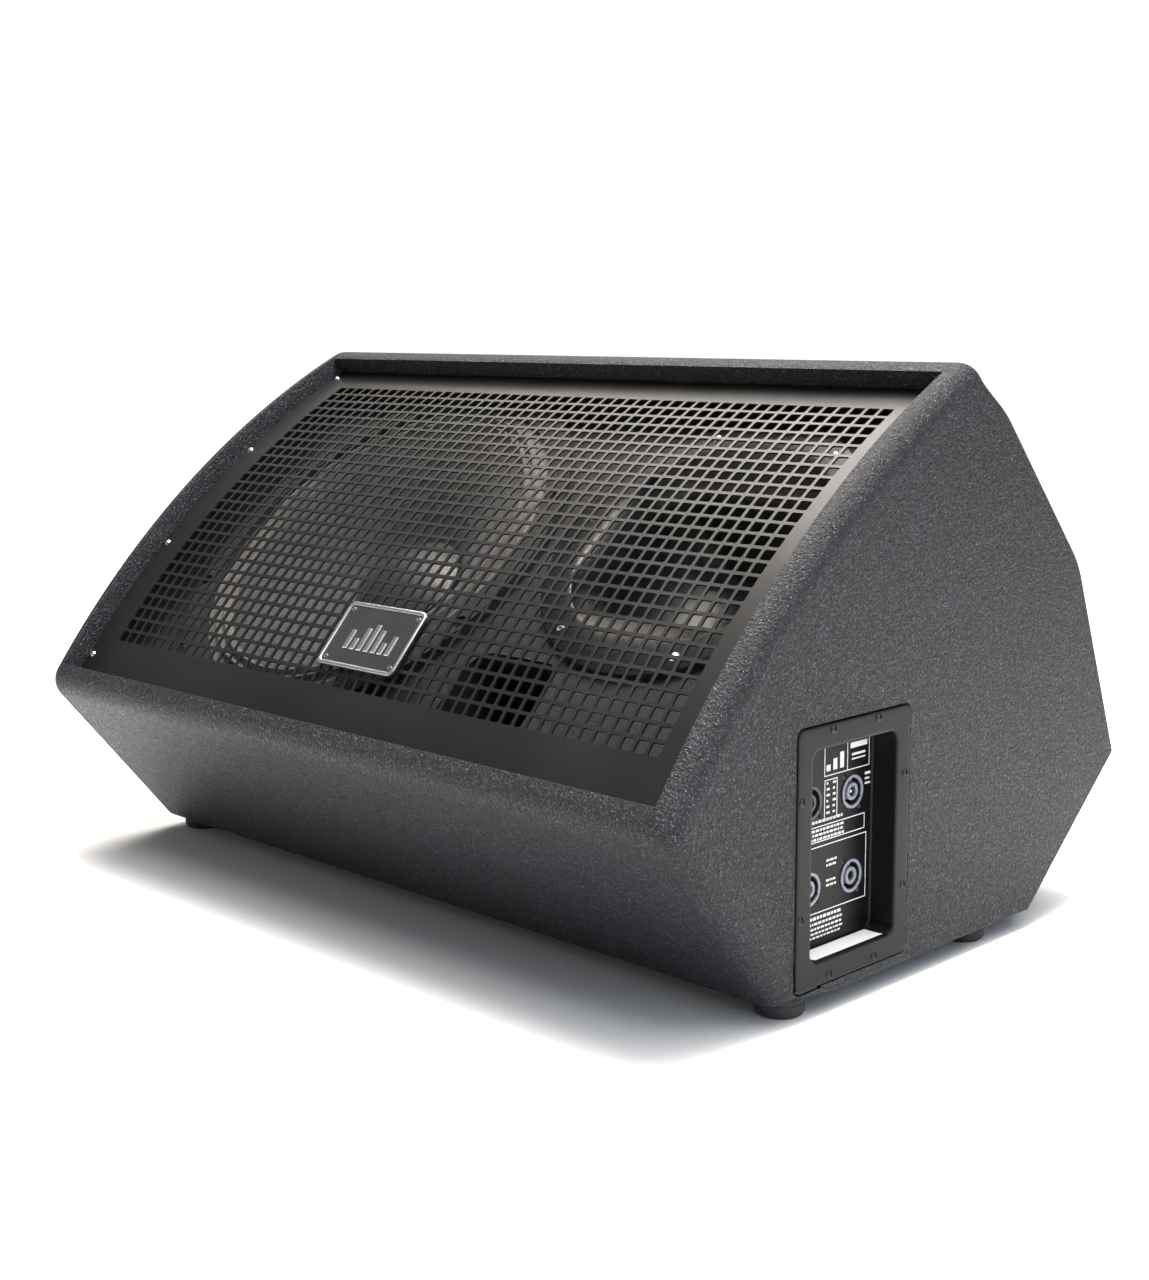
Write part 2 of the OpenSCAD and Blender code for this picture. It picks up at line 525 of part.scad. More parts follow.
// ---- feet ----
function feet() = [[-foot_x, foot_y0], [foot_x, foot_y0], [-foot_x, foot_y1], [foot_x, foot_y1]];
module foot(p) color([0.07, 0.07, 0.07]) cabinet() translate([p[0], p[1], -foot_h]) difference() {
    rotate_extrude() {
        square([foot_r - 4, 4]);
        translate([0, 4]) square([foot_r, foot_h - 4 - e]);
        translate([foot_r - 4, 4]) circle(4);
    }
    translate([0, 0, -1]) cylinder(r = 6, h = 7);
    translate([0, 0, -1]) cylinder(r = 2.3, h = foot_h + 2, $fn = 24);
}
module foot_front_left() foot(feet()[0]);
module foot_front_right() foot(feet()[1]);
module foot_rear_left() foot(feet()[2]);
module foot_rear_right() foot(feet()[3]);
module foot_screws() color([0.6, 0.6, 0.6]) for (p = feet()) cabinet() translate([p[0], p[1], -foot_h + 5.98])
    rotate([180, 0, 0]) screw(3.8, 22, 4.8, 2.4);

side_panel_left();
side_panel_right();
upper_back_panel();
lower_back_panel();
rear_panel();
bottom_panel();
kick_panel();
baffle_board();
batten_left();
batten_right();
port_duct();
grille_sheet();
grille_screws();
badge_plate();
badge_rim();
badge_pins();
woofer_frame();
woofer_gasket();
woofer_bolts();
woofer_surround();
woofer_cone();
woofer_dust_cap();
woofer_former();
woofer_coil();
woofer_spider();
woofer_front_plate();
woofer_magnet();
woofer_back_plate();
woofer_terminals();
horn_flare();
horn_screws();
hf_front_plate();
hf_magnet();
hf_back_plate();
hf_phase_plug();
hf_diaphragm();
hf_surround();
hf_coil();
hf_rear_cap();
jack_dish();
jack_screws();
socket_upper_front();
socket_upper_rear();
socket_lower_front();
socket_lower_rear();
socket_screws();
dish_label();
crossover_board();
crossover_coil_low();
crossover_coil_high();
crossover_capacitors();
woofer_leads();
horn_leads();
input_leads();
rear_lining();
foot_front_left();
foot_front_right();
foot_rear_left();
foot_rear_right();
foot_screws();
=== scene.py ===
"""Stage monitor wedge: the looks of a two-way floor loudspeaker, built as an add-on.

Lengths in the settings are metres. Places on the slanted front are given as (x, u, h): x across,
u up along the baffle from the grille's top edge, h out of the baffle.
"""

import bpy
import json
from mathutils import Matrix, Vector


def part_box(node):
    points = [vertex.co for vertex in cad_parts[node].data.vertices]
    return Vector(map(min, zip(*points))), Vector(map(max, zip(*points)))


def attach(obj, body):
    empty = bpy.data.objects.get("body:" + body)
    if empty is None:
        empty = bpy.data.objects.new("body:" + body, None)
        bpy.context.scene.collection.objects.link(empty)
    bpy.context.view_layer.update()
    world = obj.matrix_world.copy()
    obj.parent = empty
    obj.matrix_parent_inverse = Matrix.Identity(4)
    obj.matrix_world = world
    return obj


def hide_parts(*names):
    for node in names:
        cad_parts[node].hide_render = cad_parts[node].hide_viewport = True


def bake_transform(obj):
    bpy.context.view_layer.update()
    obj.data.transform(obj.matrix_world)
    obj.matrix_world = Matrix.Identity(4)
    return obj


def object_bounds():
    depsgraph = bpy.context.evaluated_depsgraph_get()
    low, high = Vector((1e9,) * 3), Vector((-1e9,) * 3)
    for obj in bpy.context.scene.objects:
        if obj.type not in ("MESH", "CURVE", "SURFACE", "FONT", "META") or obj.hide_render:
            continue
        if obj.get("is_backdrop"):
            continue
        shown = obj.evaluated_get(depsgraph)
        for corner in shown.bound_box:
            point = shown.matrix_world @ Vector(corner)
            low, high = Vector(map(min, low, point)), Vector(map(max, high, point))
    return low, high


bl_info = {
    "name": "Stage Monitor Wedge",
    "version": (1, 0, 0),
    "blender": (4, 5, 0),
    "location": "3D View > Sidebar > Wedge",
    "description": "Builds a stage monitor wedge with its grille, drivers, connector dish and finishes",
    "category": "Object",
}

import functools
import json
import math

import bpy
import numpy as np
from bpy.props import FloatProperty, FloatVectorProperty, IntProperty, PointerProperty
from mathutils import Matrix, Vector

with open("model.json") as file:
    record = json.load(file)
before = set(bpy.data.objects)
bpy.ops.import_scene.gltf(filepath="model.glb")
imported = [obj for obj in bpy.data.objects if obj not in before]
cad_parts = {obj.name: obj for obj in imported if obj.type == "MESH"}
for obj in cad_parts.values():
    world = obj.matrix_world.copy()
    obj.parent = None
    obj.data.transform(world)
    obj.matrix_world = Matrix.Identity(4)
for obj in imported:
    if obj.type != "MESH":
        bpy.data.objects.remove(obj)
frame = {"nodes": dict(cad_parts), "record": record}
CAD_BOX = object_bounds()
CABINET, WOOFER, HORN = "cabinet", "woofer_piston", "hf_piston"


def box(node):
    """Lowest and highest corner of a CAD node as two arrays."""
    low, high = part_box(node)
    return np.array(low), np.array(high)


# places shared by every piece: the first four are read from the frame
SIDE_LOW, SIDE_HIGH = box("side_panel_right")
HALF = (SIDE_HIGH[0] - box("side_panel_left")[0][0]) / 2
MIDDLE_X = (SIDE_HIGH[0] + box("side_panel_left")[0][0]) / 2
UNDERSIDE = box("bottom_panel")[0][2]
# the grille's top edge, from the cabinet's front bottom edge, and that edge's own place in the frame
TOP_Y, TOP_Z = 0.2113, 0.4106
ORIGIN_Y = -0.160794
# rows and columns of plain sheet before the grille's first hole
PLAIN_ROWS, PLAIN_COLUMNS = 3, 2
# corners of a square hole, and of a raised bar
HOLE_CORNERS, BAR_CORNERS = 12, 12


def length(name, default, about, low=0.0, high=2.0):
    """A setting in metres."""
    return FloatProperty(name=name, description=about, default=default, min=low, max=high,
                         subtype="DISTANCE", unit="LENGTH", precision=4)


def colour(name, default, about):
    """A colour setting."""
    return FloatVectorProperty(name=name, description=about, default=default, size=3, min=0.0, max=1.0,
                               subtype="COLOR")


def count(name, default, about, low=1, high=200):
    """A whole-number setting."""
    return IntProperty(name=name, description=about, default=default, min=low, max=high)


class WedgeCabinetSettings(bpy.types.PropertyGroup):
    side: length("Side panel", 0.018, "Thickness of the side panels")
    top: length("Upper back panel", 0.022, "Thickness of the upper back panel")
    kick: length("Kick panel", 0.020, "Thickness of the front kick panel")
    back: length("Back panels", 0.018, "Thickness of the bottom, rear and lower back panels")
    lip: length("Lip fillet", 0.020, "Radius of the rounded top and bottom front edges")
    roll: length("Side roll", 0.017, "Radius of the rounded side edges")
    edge: length("Plain edge", 0.003, "Radius of the other side edges")
    knee: length("Knee bend", 0.078, "Radius of the bend between the two back panels")
    tilt: FloatProperty(name="Baffle angle", description="Angle of the baffle above the floor",
                        default=math.radians(40.3), min=0.4, max=1.2, subtype="ANGLE", unit="ROTATION")
    coat: colour("Coat", (0.0075, 0.0082, 0.0112), "Textured coat")
    # the fleck colour, also painted on the grains' tops as a highlight in the textured coat
    fleck_and_top_highlight: colour("Fleck", (0.20, 0.215, 0.275), "Light flecks in the textured coat")


class WedgeGrilleSettings(bpy.types.PropertyGroup):
    radius: length("Curve", 0.8296, "Radius of the grille's outer face")
    thickness: length("Sheet", 0.0015, "Thickness of the perforated sheet")
    pitch: length("Hole pitch", 0.0127, "Spacing of the holes both ways")
    hole: length("Hole", 0.0099, "Side of a square hole")
    corner: length("Hole corner", 0.0012, "Radius of a hole's corners")
    columns: count("Columns", 51, "Holes across")
    rows: count("Rows", 27, "Holes from top to bottom")
    top_margin: length("Top margin", 0.034, "Plain strip above the first row's centres")
    badge_width: length("Badge width", 0.092, "Width of the badge")
    badge_height: length("Badge height", 0.059, "Height of the badge")
    badge_place: length("Badge place", 0.290, "How far the badge is below the first row of holes")
    powder: colour("Powder coat", (0.0055, 0.0054, 0.0053), "Satin powder coat of the grille")


class WedgeDriverSettings(bpy.types.PropertyGroup):
    woofer_x: FloatProperty(name="Woofer across", description="Woofer centre across the width",
                            default=-0.135, unit="LENGTH")
    woofer_s: length("Woofer down", 0.199, "Woofer centre below the top of the baffle")
    cone: length("Cone", 0.146, "Outer radius of the cone")
    cap: length("Dust cap", 0.053, "Radius of the dust cap")
    cap_rise: length("Cap rise", 0.019, "Height of the dust cap's dome")
    horn_x: FloatProperty(name="Horn across", description="Horn centre across the width",
                          default=0.208, unit="LENGTH")
    horn_s: length("Horn down", 0.159, "Horn centre below the top of the baffle")
    flange: length("Flange", 0.133, "Radius of the horn's flange")
    mouth: length("Mouth", 0.104, "Radius of the horn's mouth")
    throat: length("Throat", 0.025, "Radius of the horn's throat")
    depth: length("Depth", 0.095, "Depth of the horn behind the baffle")
    gap: length("Baffle gap", 0.020, "Baffle face behind the grille's top edge")
    paper: colour("Paper", (0.035, 0.035, 0.036), "Cone paper")
    cloth: colour("Surround", (0.16, 0.155, 0.15), "Doped surround cloth")
    moulding: colour("Horn", (0.011, 0.011, 0.0115), "Horn moulding")


class WedgeDishSettings(bpy.types.PropertyGroup):
    width: length("Plate width", 0.1295, "Width of the connector plate")
    height: length("Plate height", 0.182, "Height of the connector plate")
    well_width: length("Recess width", 0.097, "Width of the recess")
    well_height: length("Recess height", 0.1485, "Height of the recess")
    well_depth: length("Recess depth", 0.020, "Depth of the recess")
    behind: length("Plate place", 0.0767, "Plate centre behind the front bottom edge")
    above: length("Plate rise", 0.1004, "Plate centre above the cabinet's underside")
    apart: length("Socket spacing", 0.0243, "Half the spacing of the sockets, front to rear")
    up: length("Upper sockets", 0.0306, "Upper sockets above the plate centre")
    down: length("Lower sockets", 0.0309, "Lower sockets below the plate centre")
    ring: length("Socket ring", 0.0122, "Radius of a socket's ring")
    plastic: colour("Plate", (0.0042, 0.0042, 0.0052), "Satin plate")
    print: colour("Print", (0.72, 0.72, 0.72), "Printed legends")


class WedgeStageSettings(bpy.types.PropertyGroup):
    floor: colour("Floor", (0.93, 0.93, 0.93), "Pale floor")
    lens: FloatProperty(name="Lens", description="Focal length", default=52.906, min=10, max=200,
                        subtype="DISTANCE_CAMERA")
    sky: FloatProperty(name="Backdrop", description="Brightness of the backdrop", default=1.05,
                       min=0.0, max=5.0)
    fill: FloatProperty(name="Room light", description="Strength of the room's even light", default=0.18,
                        min=0.0, max=5.0)
    top: FloatProperty(name="Top light", description="Strength of the soft light from above", default=3.0,
                       min=0.0, max=20.0)


def settings(group):
    """One group of the scene's settings."""
    return getattr(bpy.context.scene, "wedge_" + group)


# ---------------------------------------------------------------- places

def cabinet_place(x, y, z):
    """The cabinet's own coordinates (front bottom edge at y = 0, z = 0) as points of the frame."""
    return np.stack(np.broadcast_arrays(x + MIDDLE_X, y + ORIGIN_Y, z + UNDERSIDE), -1)


def lean(u, h):
    """(u, h) turned by the baffle's angle: y = Ty + u cos a - h sin a, z = Tz + u sin a + h cos a."""
    a = settings("cabinet").tilt
    return TOP_Y + u * math.cos(a) - h * math.sin(a), TOP_Z + u * math.sin(a) + h * math.cos(a)


def seat(x, u, h):
    """(x, u, h) as points of the frame."""
    y, z = lean(np.asarray(u, float), np.asarray(h, float))
    return cabinet_place(np.asarray(x, float), y, z)


def arc_centre():
    """Centre of the grille's curve in (u, h): the arc passes through the grille's top edge (0, 0)."""
    r = settings("grille").radius
    return -0.200, -math.sqrt(r * r - 0.200 ** 2)


def on_grille(x, s, out):
    """A place s down the grille's arc below the first row of holes and out of its face:
    (u, h) = centre + (r + out) (sin f, cos f), with f = f0 - (s + margin) / r."""
    g = settings("grille")
    cu, ch = arc_centre()
    f = math.atan2(-cu, -ch) - (np.asarray(s, float) + g.top_margin) / g.radius
    r = g.radius + np.asarray(out, float)
    return seat(x, cu + r * np.sin(f), ch + r * np.cos(f))


def on_dish(x, y, out):
    """A place on the connector dish: x rearward, y up, out of the right side, from the plate's centre."""
    d = settings("dish")
    return cabinet_place(HALF + np.asarray(out, float), d.behind + np.asarray(x, float),
                         d.above + np.asarray(y, float))


def at_woofer(x, y, z):
    """A place from the woofer's centre on the baffle's face, z along its axis."""
    d = settings("driver")
    return seat(d.woofer_x + x, -d.woofer_s + y, -d.gap + z)


def at_horn(x, y, z):
    """A place from the horn's centre on the baffle's face, z along its axis."""
    d = settings("driver")
    return seat(d.horn_x + x, -d.horn_s + y, -d.gap + z)


# ---------------------------------------------------------------- curves and surfaces

def arc(centre, radius, a, b, n):
    """Points of a circle from angle a to b, in radians."""
    t = np.linspace(a, b, n)
    return np.stack([centre[0] + radius * np.cos(t), centre[1] + radius * np.sin(t)], -1)


def fillet(before, corner, after, radius, n):
    """The arc that rounds a corner: its centre lies radius / sin(half the corner's angle) along the
    bisector."""
    before, corner, after = (np.asarray(p, float) for p in (before, corner, after))
    p = (before - corner) / np.linalg.norm(before - corner)
    q = (after - corner) / np.linalg.norm(after - corner)
    half = math.acos(float(np.clip(p @ q, -1, 1))) / 2
    centre = corner + (p + q) / np.linalg.norm(p + q) * radius / math.sin(half)
    first, last = corner + p * radius / math.tan(half), corner + q * radius / math.tan(half)
    a = math.atan2(*(first - centre)[::-1])
    b = math.atan2(*(last - centre)[::-1])
    b = a + (b - a + math.pi) % (2 * math.pi) - math.pi
    return arc(centre, radius, a, b, n)


def rounded_radius(width, height, corner, angle):
    """Distance from the centre of a rounded rectangle to its edge at an angle: the nearer of the two
    straight sides, or where the ray meets the corner's circle, c.d + sqrt((c.d)^2 - c.c + r^2)."""
    c, s = np.abs(np.cos(angle)), np.abs(np.sin(angle))
    straight = np.minimum(width / 2 / np.maximum(c, 1e-9), height / 2 / np.maximum(s, 1e-9))
    kx, ky = width / 2 - corner, height / 2 - corner
    along = kx * c + ky * s
    root = np.sqrt(np.maximum(along ** 2 - kx ** 2 - ky ** 2 + corner ** 2, 0))
    return np.where((straight * c > kx) & (straight * s > ky), along + root, straight)


def rounded_angles(width, height, corner, n=7):
    """Angles at which a rounded rectangle is drawn exactly: its corner arcs and the middles of its sides."""
    kx, ky = width / 2 - corner, height / 2 - corner
    t = np.linspace(0, math.pi / 2, n)
    first = np.arctan2(ky + corner * np.sin(t), kx + corner * np.cos(t))
    quarter = np.concatenate([[0.0], first, [math.pi / 2]])
    return np.unique(np.round(np.concatenate([quarter, math.pi - quarter[:-1], math.pi + quarter[1:],
                                              2 * math.pi - quarter[1:-1]]), 9))


def rounded_ring(width, height, corner, n=7):
    """A rounded rectangle as a closed ring of (x, y) points."""
    a = rounded_angles(width, height, corner, n)
    r = rounded_radius(width, height, corner, a)
    return np.stack([r * np.cos(a), r * np.sin(a)], -1)


def grid_faces(rows, columns, close_columns=True, close_rows=False, start=0):
    """Four-sided faces between neighbouring rows and columns of a grid of points."""
    i = np.arange(rows if close_rows else rows - 1)
    j = np.arange(columns if close_columns else columns - 1)
    i, j = (k.ravel() for k in np.meshgrid(i, j, indexing="ij"))
    i1, j1 = (i + 1) % rows, (j + 1) % columns
    return start + np.stack([i * columns + j, i * columns + j1, i1 * columns + j1, i1 * columns + j], -1)


def grid_edge(rows, columns):
    """The points of a grid's outer edge, in order round it."""
    return np.concatenate([np.arange(columns), np.arange(1, rows) * columns + columns - 1,
                           (rows - 1) * columns + np.arange(columns - 2, -1, -1),
                           np.arange(rows - 2, 0, -1) * columns])


def edge_wall(rows, columns, gap):
    """The wall round a sheet: it joins the outer edge of a grid to the same edge gap points further on."""
    edge = grid_edge(rows, columns)
    after = np.roll(edge, -1)
    return np.stack([after, edge, edge + gap, after + gap], -1)


def slab(name, top, under, material, **how):
    """A closed sheet between two grids of points of the same size."""
    rows, columns = top.shape[:2]
    n = rows * columns
    face = grid_faces(rows, columns, False)
    points = np.concatenate([top.reshape(-1, 3), under.reshape(-1, 3)])
    return piece(name, points, [face, face[:, ::-1] + n, edge_wall(rows, columns, n)], material, **how)


def signed_volume(points, faces):
    """Six times the volume inside the faces, by the fan of each face about its first corner."""
    total = 0.0
    for f in faces:
        f = np.asarray(f)
        if f.ndim == 1:
            f = f[None]
        p = points[f]
        for k in range(1, f.shape[1] - 1):
            total += float(np.einsum("ij,ij->i", p[:, 0], np.cross(p[:, k], p[:, k + 1])).sum())
    return total


def piece(name, points, faces, material, body=CABINET, smooth=35.0, slot=None, replaces=(), solid=True):
    """Puts points and faces into a mesh object. faces is a list of index arrays, each of one width.
    A closed piece is turned so that its volume is positive, which makes its faces point outwards."""
    points = np.asarray(points, float).reshape(-1, 3)
    faces = [np.atleast_2d(np.asarray(f, int)) for f in faces]
    if solid and signed_volume(points, faces) < 0:
        faces = [f[:, ::-1] for f in faces]
    mesh = bpy.data.meshes.new(name)
    mesh.from_pydata(points.tolist(), [], [row for f in faces for row in f.tolist()])
    mesh.update()
    mesh.polygons.foreach_set("use_smooth", np.ones(len(mesh.polygons), bool))
    if smooth < 180:
        mesh.set_sharp_from_angle(angle=math.radians(smooth))
    mesh.validate()
    obj = bpy.data.objects.new(name, mesh)
    bpy.context.scene.collection.objects.link(obj)
    mesh.materials.append(material)
    if body:
        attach(obj, body)
    if replaces:
        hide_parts(*replaces)
    return obj


def loft(name, rings, material, closed=False, ends=True, **how):
    """A surface through rings of equal count: (ring, place on ring) is its grid. The ends are closed
    with one flat face each, or the last ring joins the first."""
    rings = np.asarray(rings, float)
    m, n = rings.shape[:2]
    faces = [grid_faces(m, n, True, closed)]
    if ends and not closed:
        faces += [np.arange(n)[::-1][None], (np.arange(n) + (m - 1) * n)[None]]
    return piece(name, rings.reshape(-1, 3), faces, material, **how)


def lathe(name, profile, place, material, steps=96, closed=True, phase=0.0, **how):
    """A profile of (radius, height) turned about a local Z axis: (r cos t, r sin t, z)."""
    profile = np.asarray(profile, float)
    t = phase + np.arange(steps) * 2 * math.pi / steps
    x = profile[:, :1] * np.cos(t)
    y = profile[:, :1] * np.sin(t)
    z = np.repeat(profile[:, 1:], steps, 1)
    return loft(name, place(x, y, z), material, closed=closed, **how)


def join(parts):
    """Several (points, faces) made one, each part's indices moved up past the parts before it."""
    points, faces, start = [], [], 0
    for p, f in parts:
        points.append(np.asarray(p).reshape(-1, 3))
        faces += [np.atleast_2d(g) + start for g in f]
        start += len(points[-1])
    return np.concatenate(points), faces


def blocks(rects, z0, z1, place, bevel=0.0):
    """Raised bars: rects is an array of (x0, y0, x1, y1). Each is a box whose top is drawn in by bevel."""
    r = np.asarray(rects, float).reshape(-1, 4)
    x = np.stack([r[:, 0], r[:, 2], r[:, 2], r[:, 0]], -1)
    y = np.stack([r[:, 1], r[:, 1], r[:, 3], r[:, 3]], -1)
    mx, my = x.mean(1, keepdims=True), y.mean(1, keepdims=True)
    tx, ty = x - np.sign(x - mx) * bevel, y - np.sign(y - my) * bevel
    local = np.concatenate([np.stack([x, y], -1), np.stack([x, y], -1), np.stack([tx, ty], -1)], 1)
    z = np.repeat([z0, z1 - bevel, z1], 4)[None] + np.zeros((len(r), 1))
    points = place(local[..., 0], local[..., 1], z)
    walls = [[k + a, k + (a + 1) % 4, k + 4 + (a + 1) % 4, k + 4 + a] for k in (0, 4) for a in range(4)]
    cube = np.array([[0, 3, 2, 1], [8, 9, 10, 11]] + walls)
    faces = (cube[None] + BAR_CORNERS * np.arange(len(r))[:, None, None]).reshape(-1, 4)
    return points.reshape(-1, 3), [faces]


def framed(x0, y0, x1, y1, line):
    """The four bars of a rectangular outline."""
    return [(x0, y0, x1, y0 + line), (x0, y1 - line, x1, y1), (x0, y0 + line, x0 + line, y1 - line),
            (x1 - line, y0 + line, x1, y1 - line)]


# ---------------------------------------------------------------- finishes

class Finish:
    """A short way to write a node material: each call adds one node and returns its output."""

    def __init__(self, name):
        self.material = bpy.data.materials.new(name)
        self.material.use_nodes = True
        self.tree = self.material.node_tree
        self.shader = self.tree.nodes["Principled BSDF"]
        self.place = self.tree.nodes.new("ShaderNodeTexCoord").outputs["Object"]

    def add(self, kind, **values):
        node = self.tree.nodes.new(kind)
        for key, value in values.items():
            if hasattr(node, key):
                setattr(node, key, value)
            else:
                self.put(node.inputs[key.replace("_", " ")], value)
        return node

    def put(self, socket, value):
        if isinstance(value, bpy.types.NodeSocket):
            self.tree.links.new(value, socket)
        else:
            socket.default_value = value

    def stretched(self, scale, angle=(0, 0, 0)):
        node = self.add("ShaderNodeMapping")
        self.put(node.inputs["Vector"], self.place)
        node.inputs["Scale"].default_value = scale
        node.inputs["Rotation"].default_value = angle
        return node.outputs[0]

    def noise(self, scale, detail=4.0, rough=0.55, vector=None):
        node = self.add("ShaderNodeTexNoise", Scale=scale, Detail=detail, Roughness=rough)
        self.put(node.inputs["Vector"], vector or self.place)
        return node.outputs["Fac"]

    def cells(self, scale, feature="F1", vector=None, randomness=1.0):
        node = self.add("ShaderNodeTexVoronoi", feature=feature, Scale=scale, Randomness=randomness)
        self.put(node.inputs["Vector"], vector or self.place)
        return node.outputs["Distance"]

    def ramp(self, fac, *stops):
        """stops are (position, colour or grey value)."""
        node = self.add("ShaderNodeValToRGB")
        self.put(node.inputs["Fac"], fac)
        points = node.color_ramp.elements
        while len(points) < len(stops):
            points.new(0.5)
        for point, (at, tone) in zip(points, stops):
            tone = (tone,) * 3 if isinstance(tone, (int, float)) else tuple(tone)
            point.position, point.color = at, (*tone[:3], 1.0)
        return node.outputs["Color"]

    def math(self, operation, a, b=0.5, c=None):
        node = self.add("ShaderNodeMath", operation=operation)
        self.put(node.inputs[0], a)
        self.put(node.inputs[1], b)
        if c is not None:
            self.put(node.inputs[2], c)
        return node.outputs[0]

    def mix(self, fac, a, b, blend_type="MIX"):
        node = self.add("ShaderNodeMix", data_type="RGBA", blend_type=blend_type)
        self.put(node.inputs["Factor"], fac)
        self.put(node.inputs[6], a if isinstance(a, bpy.types.NodeSocket) else (*a[:3], 1.0))
        self.put(node.inputs[7], b if isinstance(b, bpy.types.NodeSocket) else (*b[:3], 1.0))
        return node.outputs[2]

    def bump(self, height, distance, strength=1.0, under=None):
        node = self.add("ShaderNodeBump", Strength=strength, Distance=distance, Height=height)
        if under is not None:
            self.put(node.inputs["Normal"], under)
        return node.outputs["Normal"]

    def axis(self, which):
        node = self.add("ShaderNodeSeparateXYZ")
        self.put(node.inputs[0], self.place)
        return node.outputs[which]

    def done(self, colour=None, roughness=None, metallic=0.0, normal=None, **more):
        for key, value in (("Base Color", colour), ("Roughness", roughness), ("Metallic", metallic),
                           ("Normal", normal), *((k.replace("_", " "), v) for k, v in more.items())):
            if value is not None:
                if key == "Base Color" and not isinstance(value, bpy.types.NodeSocket):
                    value = (*value[:3], 1.0)
                self.put(self.shader.inputs[key], value)
        return self.material


def shade(rgb, k):
    """A colour made k times as bright, at most white."""
    return tuple(min(1.0, c * k) for c in rgb)


def finish_coat(name="textured_coat"):
    """Sprayed textured coat: grains about 1 mm across over a softer 3 mm pebble, light flecks, the grains'
    tops painted a little lighter as a highlight, painted shade in the pits between them, a faint cloudiness
    from the spray passes and a slight shine."""
    s = settings("cabinet")
    f = Finish(name)
    pebble = f.noise(300, 2, 0.5)
    grain = f.noise(620, 3, 0.6)
    height = f.math("ADD", f.math("MULTIPLY", pebble, 0.7), grain)
    cloud = f.ramp(f.noise(11, 3), (0.3, shade(s.coat, 0.88)), (0.7, shade(s.coat, 1.14)))
    both = f.math("ADD", f.math("MULTIPLY", pebble, 0.30), f.math("MULTIPLY", grain, 0.70))
    # painted highlight: the highest grain tops get a little of the fleck colour, as if light caught them
    grain_top_highlight = f.ramp(both, (0.50, 0.0), (0.66, 1.0))
    # painted shade: the lowest places between the grains are darkened, as if shade fell in them
    pit_shade = f.ramp(both, (0.36, 1.0), (0.50, 0.0))
    flecks = f.ramp(f.noise(760, 2, 0.5), (0.625, 0.0), (0.70, 1.0))
    # painted highlight on the grains' tops
    colour = f.mix(f.math("MULTIPLY", grain_top_highlight, 0.12), cloud, s.fleck_and_top_highlight)
    colour = f.mix(f.math("MULTIPLY", flecks, 0.80), colour, s.fleck_and_top_highlight)
    # painted shade in the pits, down to a fifth of the coat's colour
    colour = f.mix(f.math("MULTIPLY", pit_shade, 0.80), colour, shade(s.coat, 0.2))
    rough = f.ramp(both, (0.35, 0.56), (0.65, 0.34))
    return f.done(colour, rough, normal=f.bump(height, 0.0017, 1.0), Specular_IOR_Level=0.28)


def finish_powder(name="grille_coat"):
    """Satin powder coat on steel: a very fine orange peel and slow changes of sheen."""
    s = settings("grille")
    f = Finish(name)
    peel = f.noise(1400, 3, 0.5)
    slow = f.noise(7, 2)
    colour = f.ramp(slow, (0.3, shade(s.powder, 0.85)), (0.7, shade(s.powder, 1.25)))
    rough = f.ramp(f.math("ADD", f.math("MULTIPLY", peel, 0.3), f.math("MULTIPLY", slow, 0.7)),
                   (0.3, 0.34), (0.7, 0.46))
    return f.done(colour, rough, normal=f.bump(peel, 0.00018, 0.5), Specular_IOR_Level=0.55)


def finish_metal(name, tone, rough=0.28, scale=600, wear=0.15, bump=0.00006, stretch=None):
    """Plated or brushed metal: tone drifts a little, fine marks change the shine."""
    f = Finish(name)
    vector = f.stretched(stretch) if stretch else None
    marks = f.noise(scale, 5, 0.6, vector)
    drift = f.noise(scale / 14, 2)
    colour = f.mix(f.ramp(f.math("ADD", f.math("MULTIPLY", marks, 0.6), f.math("MULTIPLY", drift, 0.4)),
                          (0.3, 0.0), (0.75, 1.0)), shade(tone, 1 - wear), shade(tone, 1 + wear))
    roughness = f.ramp(marks, (0.3, rough * 0.75), (0.75, min(1.0, rough * 1.35)))
    return f.done(colour, roughness, 1.0, f.bump(marks, bump, 0.5))


def finish_plastic(name, tone, rough=0.42, grain=900, bump=0.00012, coat=0.0, drift=0.18, sheen=0.5):
    """Moulded plastic or paint: a fine spark-eroded grain with a slow change of tone."""
    f = Finish(name)
    fine = f.noise(grain, 3, 0.55)
    slow = f.noise(grain / 40, 2)
    colour = f.ramp(f.math("ADD", f.math("MULTIPLY", fine, 0.35), f.math("MULTIPLY", slow, 0.65)),
                    (0.3, shade(tone, 1 - drift)), (0.72, shade(tone, 1 + drift)))
    roughness = f.ramp(fine, (0.3, rough * 0.85), (0.75, min(1.0, rough * 1.2)))
    return f.done(colour, roughness, normal=f.bump(fine, bump, 0.6), Coat_Weight=coat, Coat_Roughness=0.12,
                  Specular_IOR_Level=sheen)


def finish_paper(name="cone_paper"):
    """Pressed cone paper: matted short fibres and darker, shinier doping."""
    s = settings("driver")
    f = Finish(name)
    fibres = f.noise(700, 8, 0.75, f.stretched((1, 2.4, 1)))
    cross = f.noise(520, 6, 0.7, f.stretched((2.6, 1, 1.4)))
    both = f.math("MULTIPLY", f.math("ADD", fibres, cross), 0.5)
    colour = f.ramp(both, (0.36, shade(s.paper, 0.6)), (0.5, s.paper), (0.66, shade(s.paper, 1.9)))
    return f.done(colour, f.ramp(both, (0.3, 0.62), (0.7, 0.85)), normal=f.bump(both, 0.0005, 0.8),
                  Sheen_Weight=0.15, Sheen_Roughness=0.5)


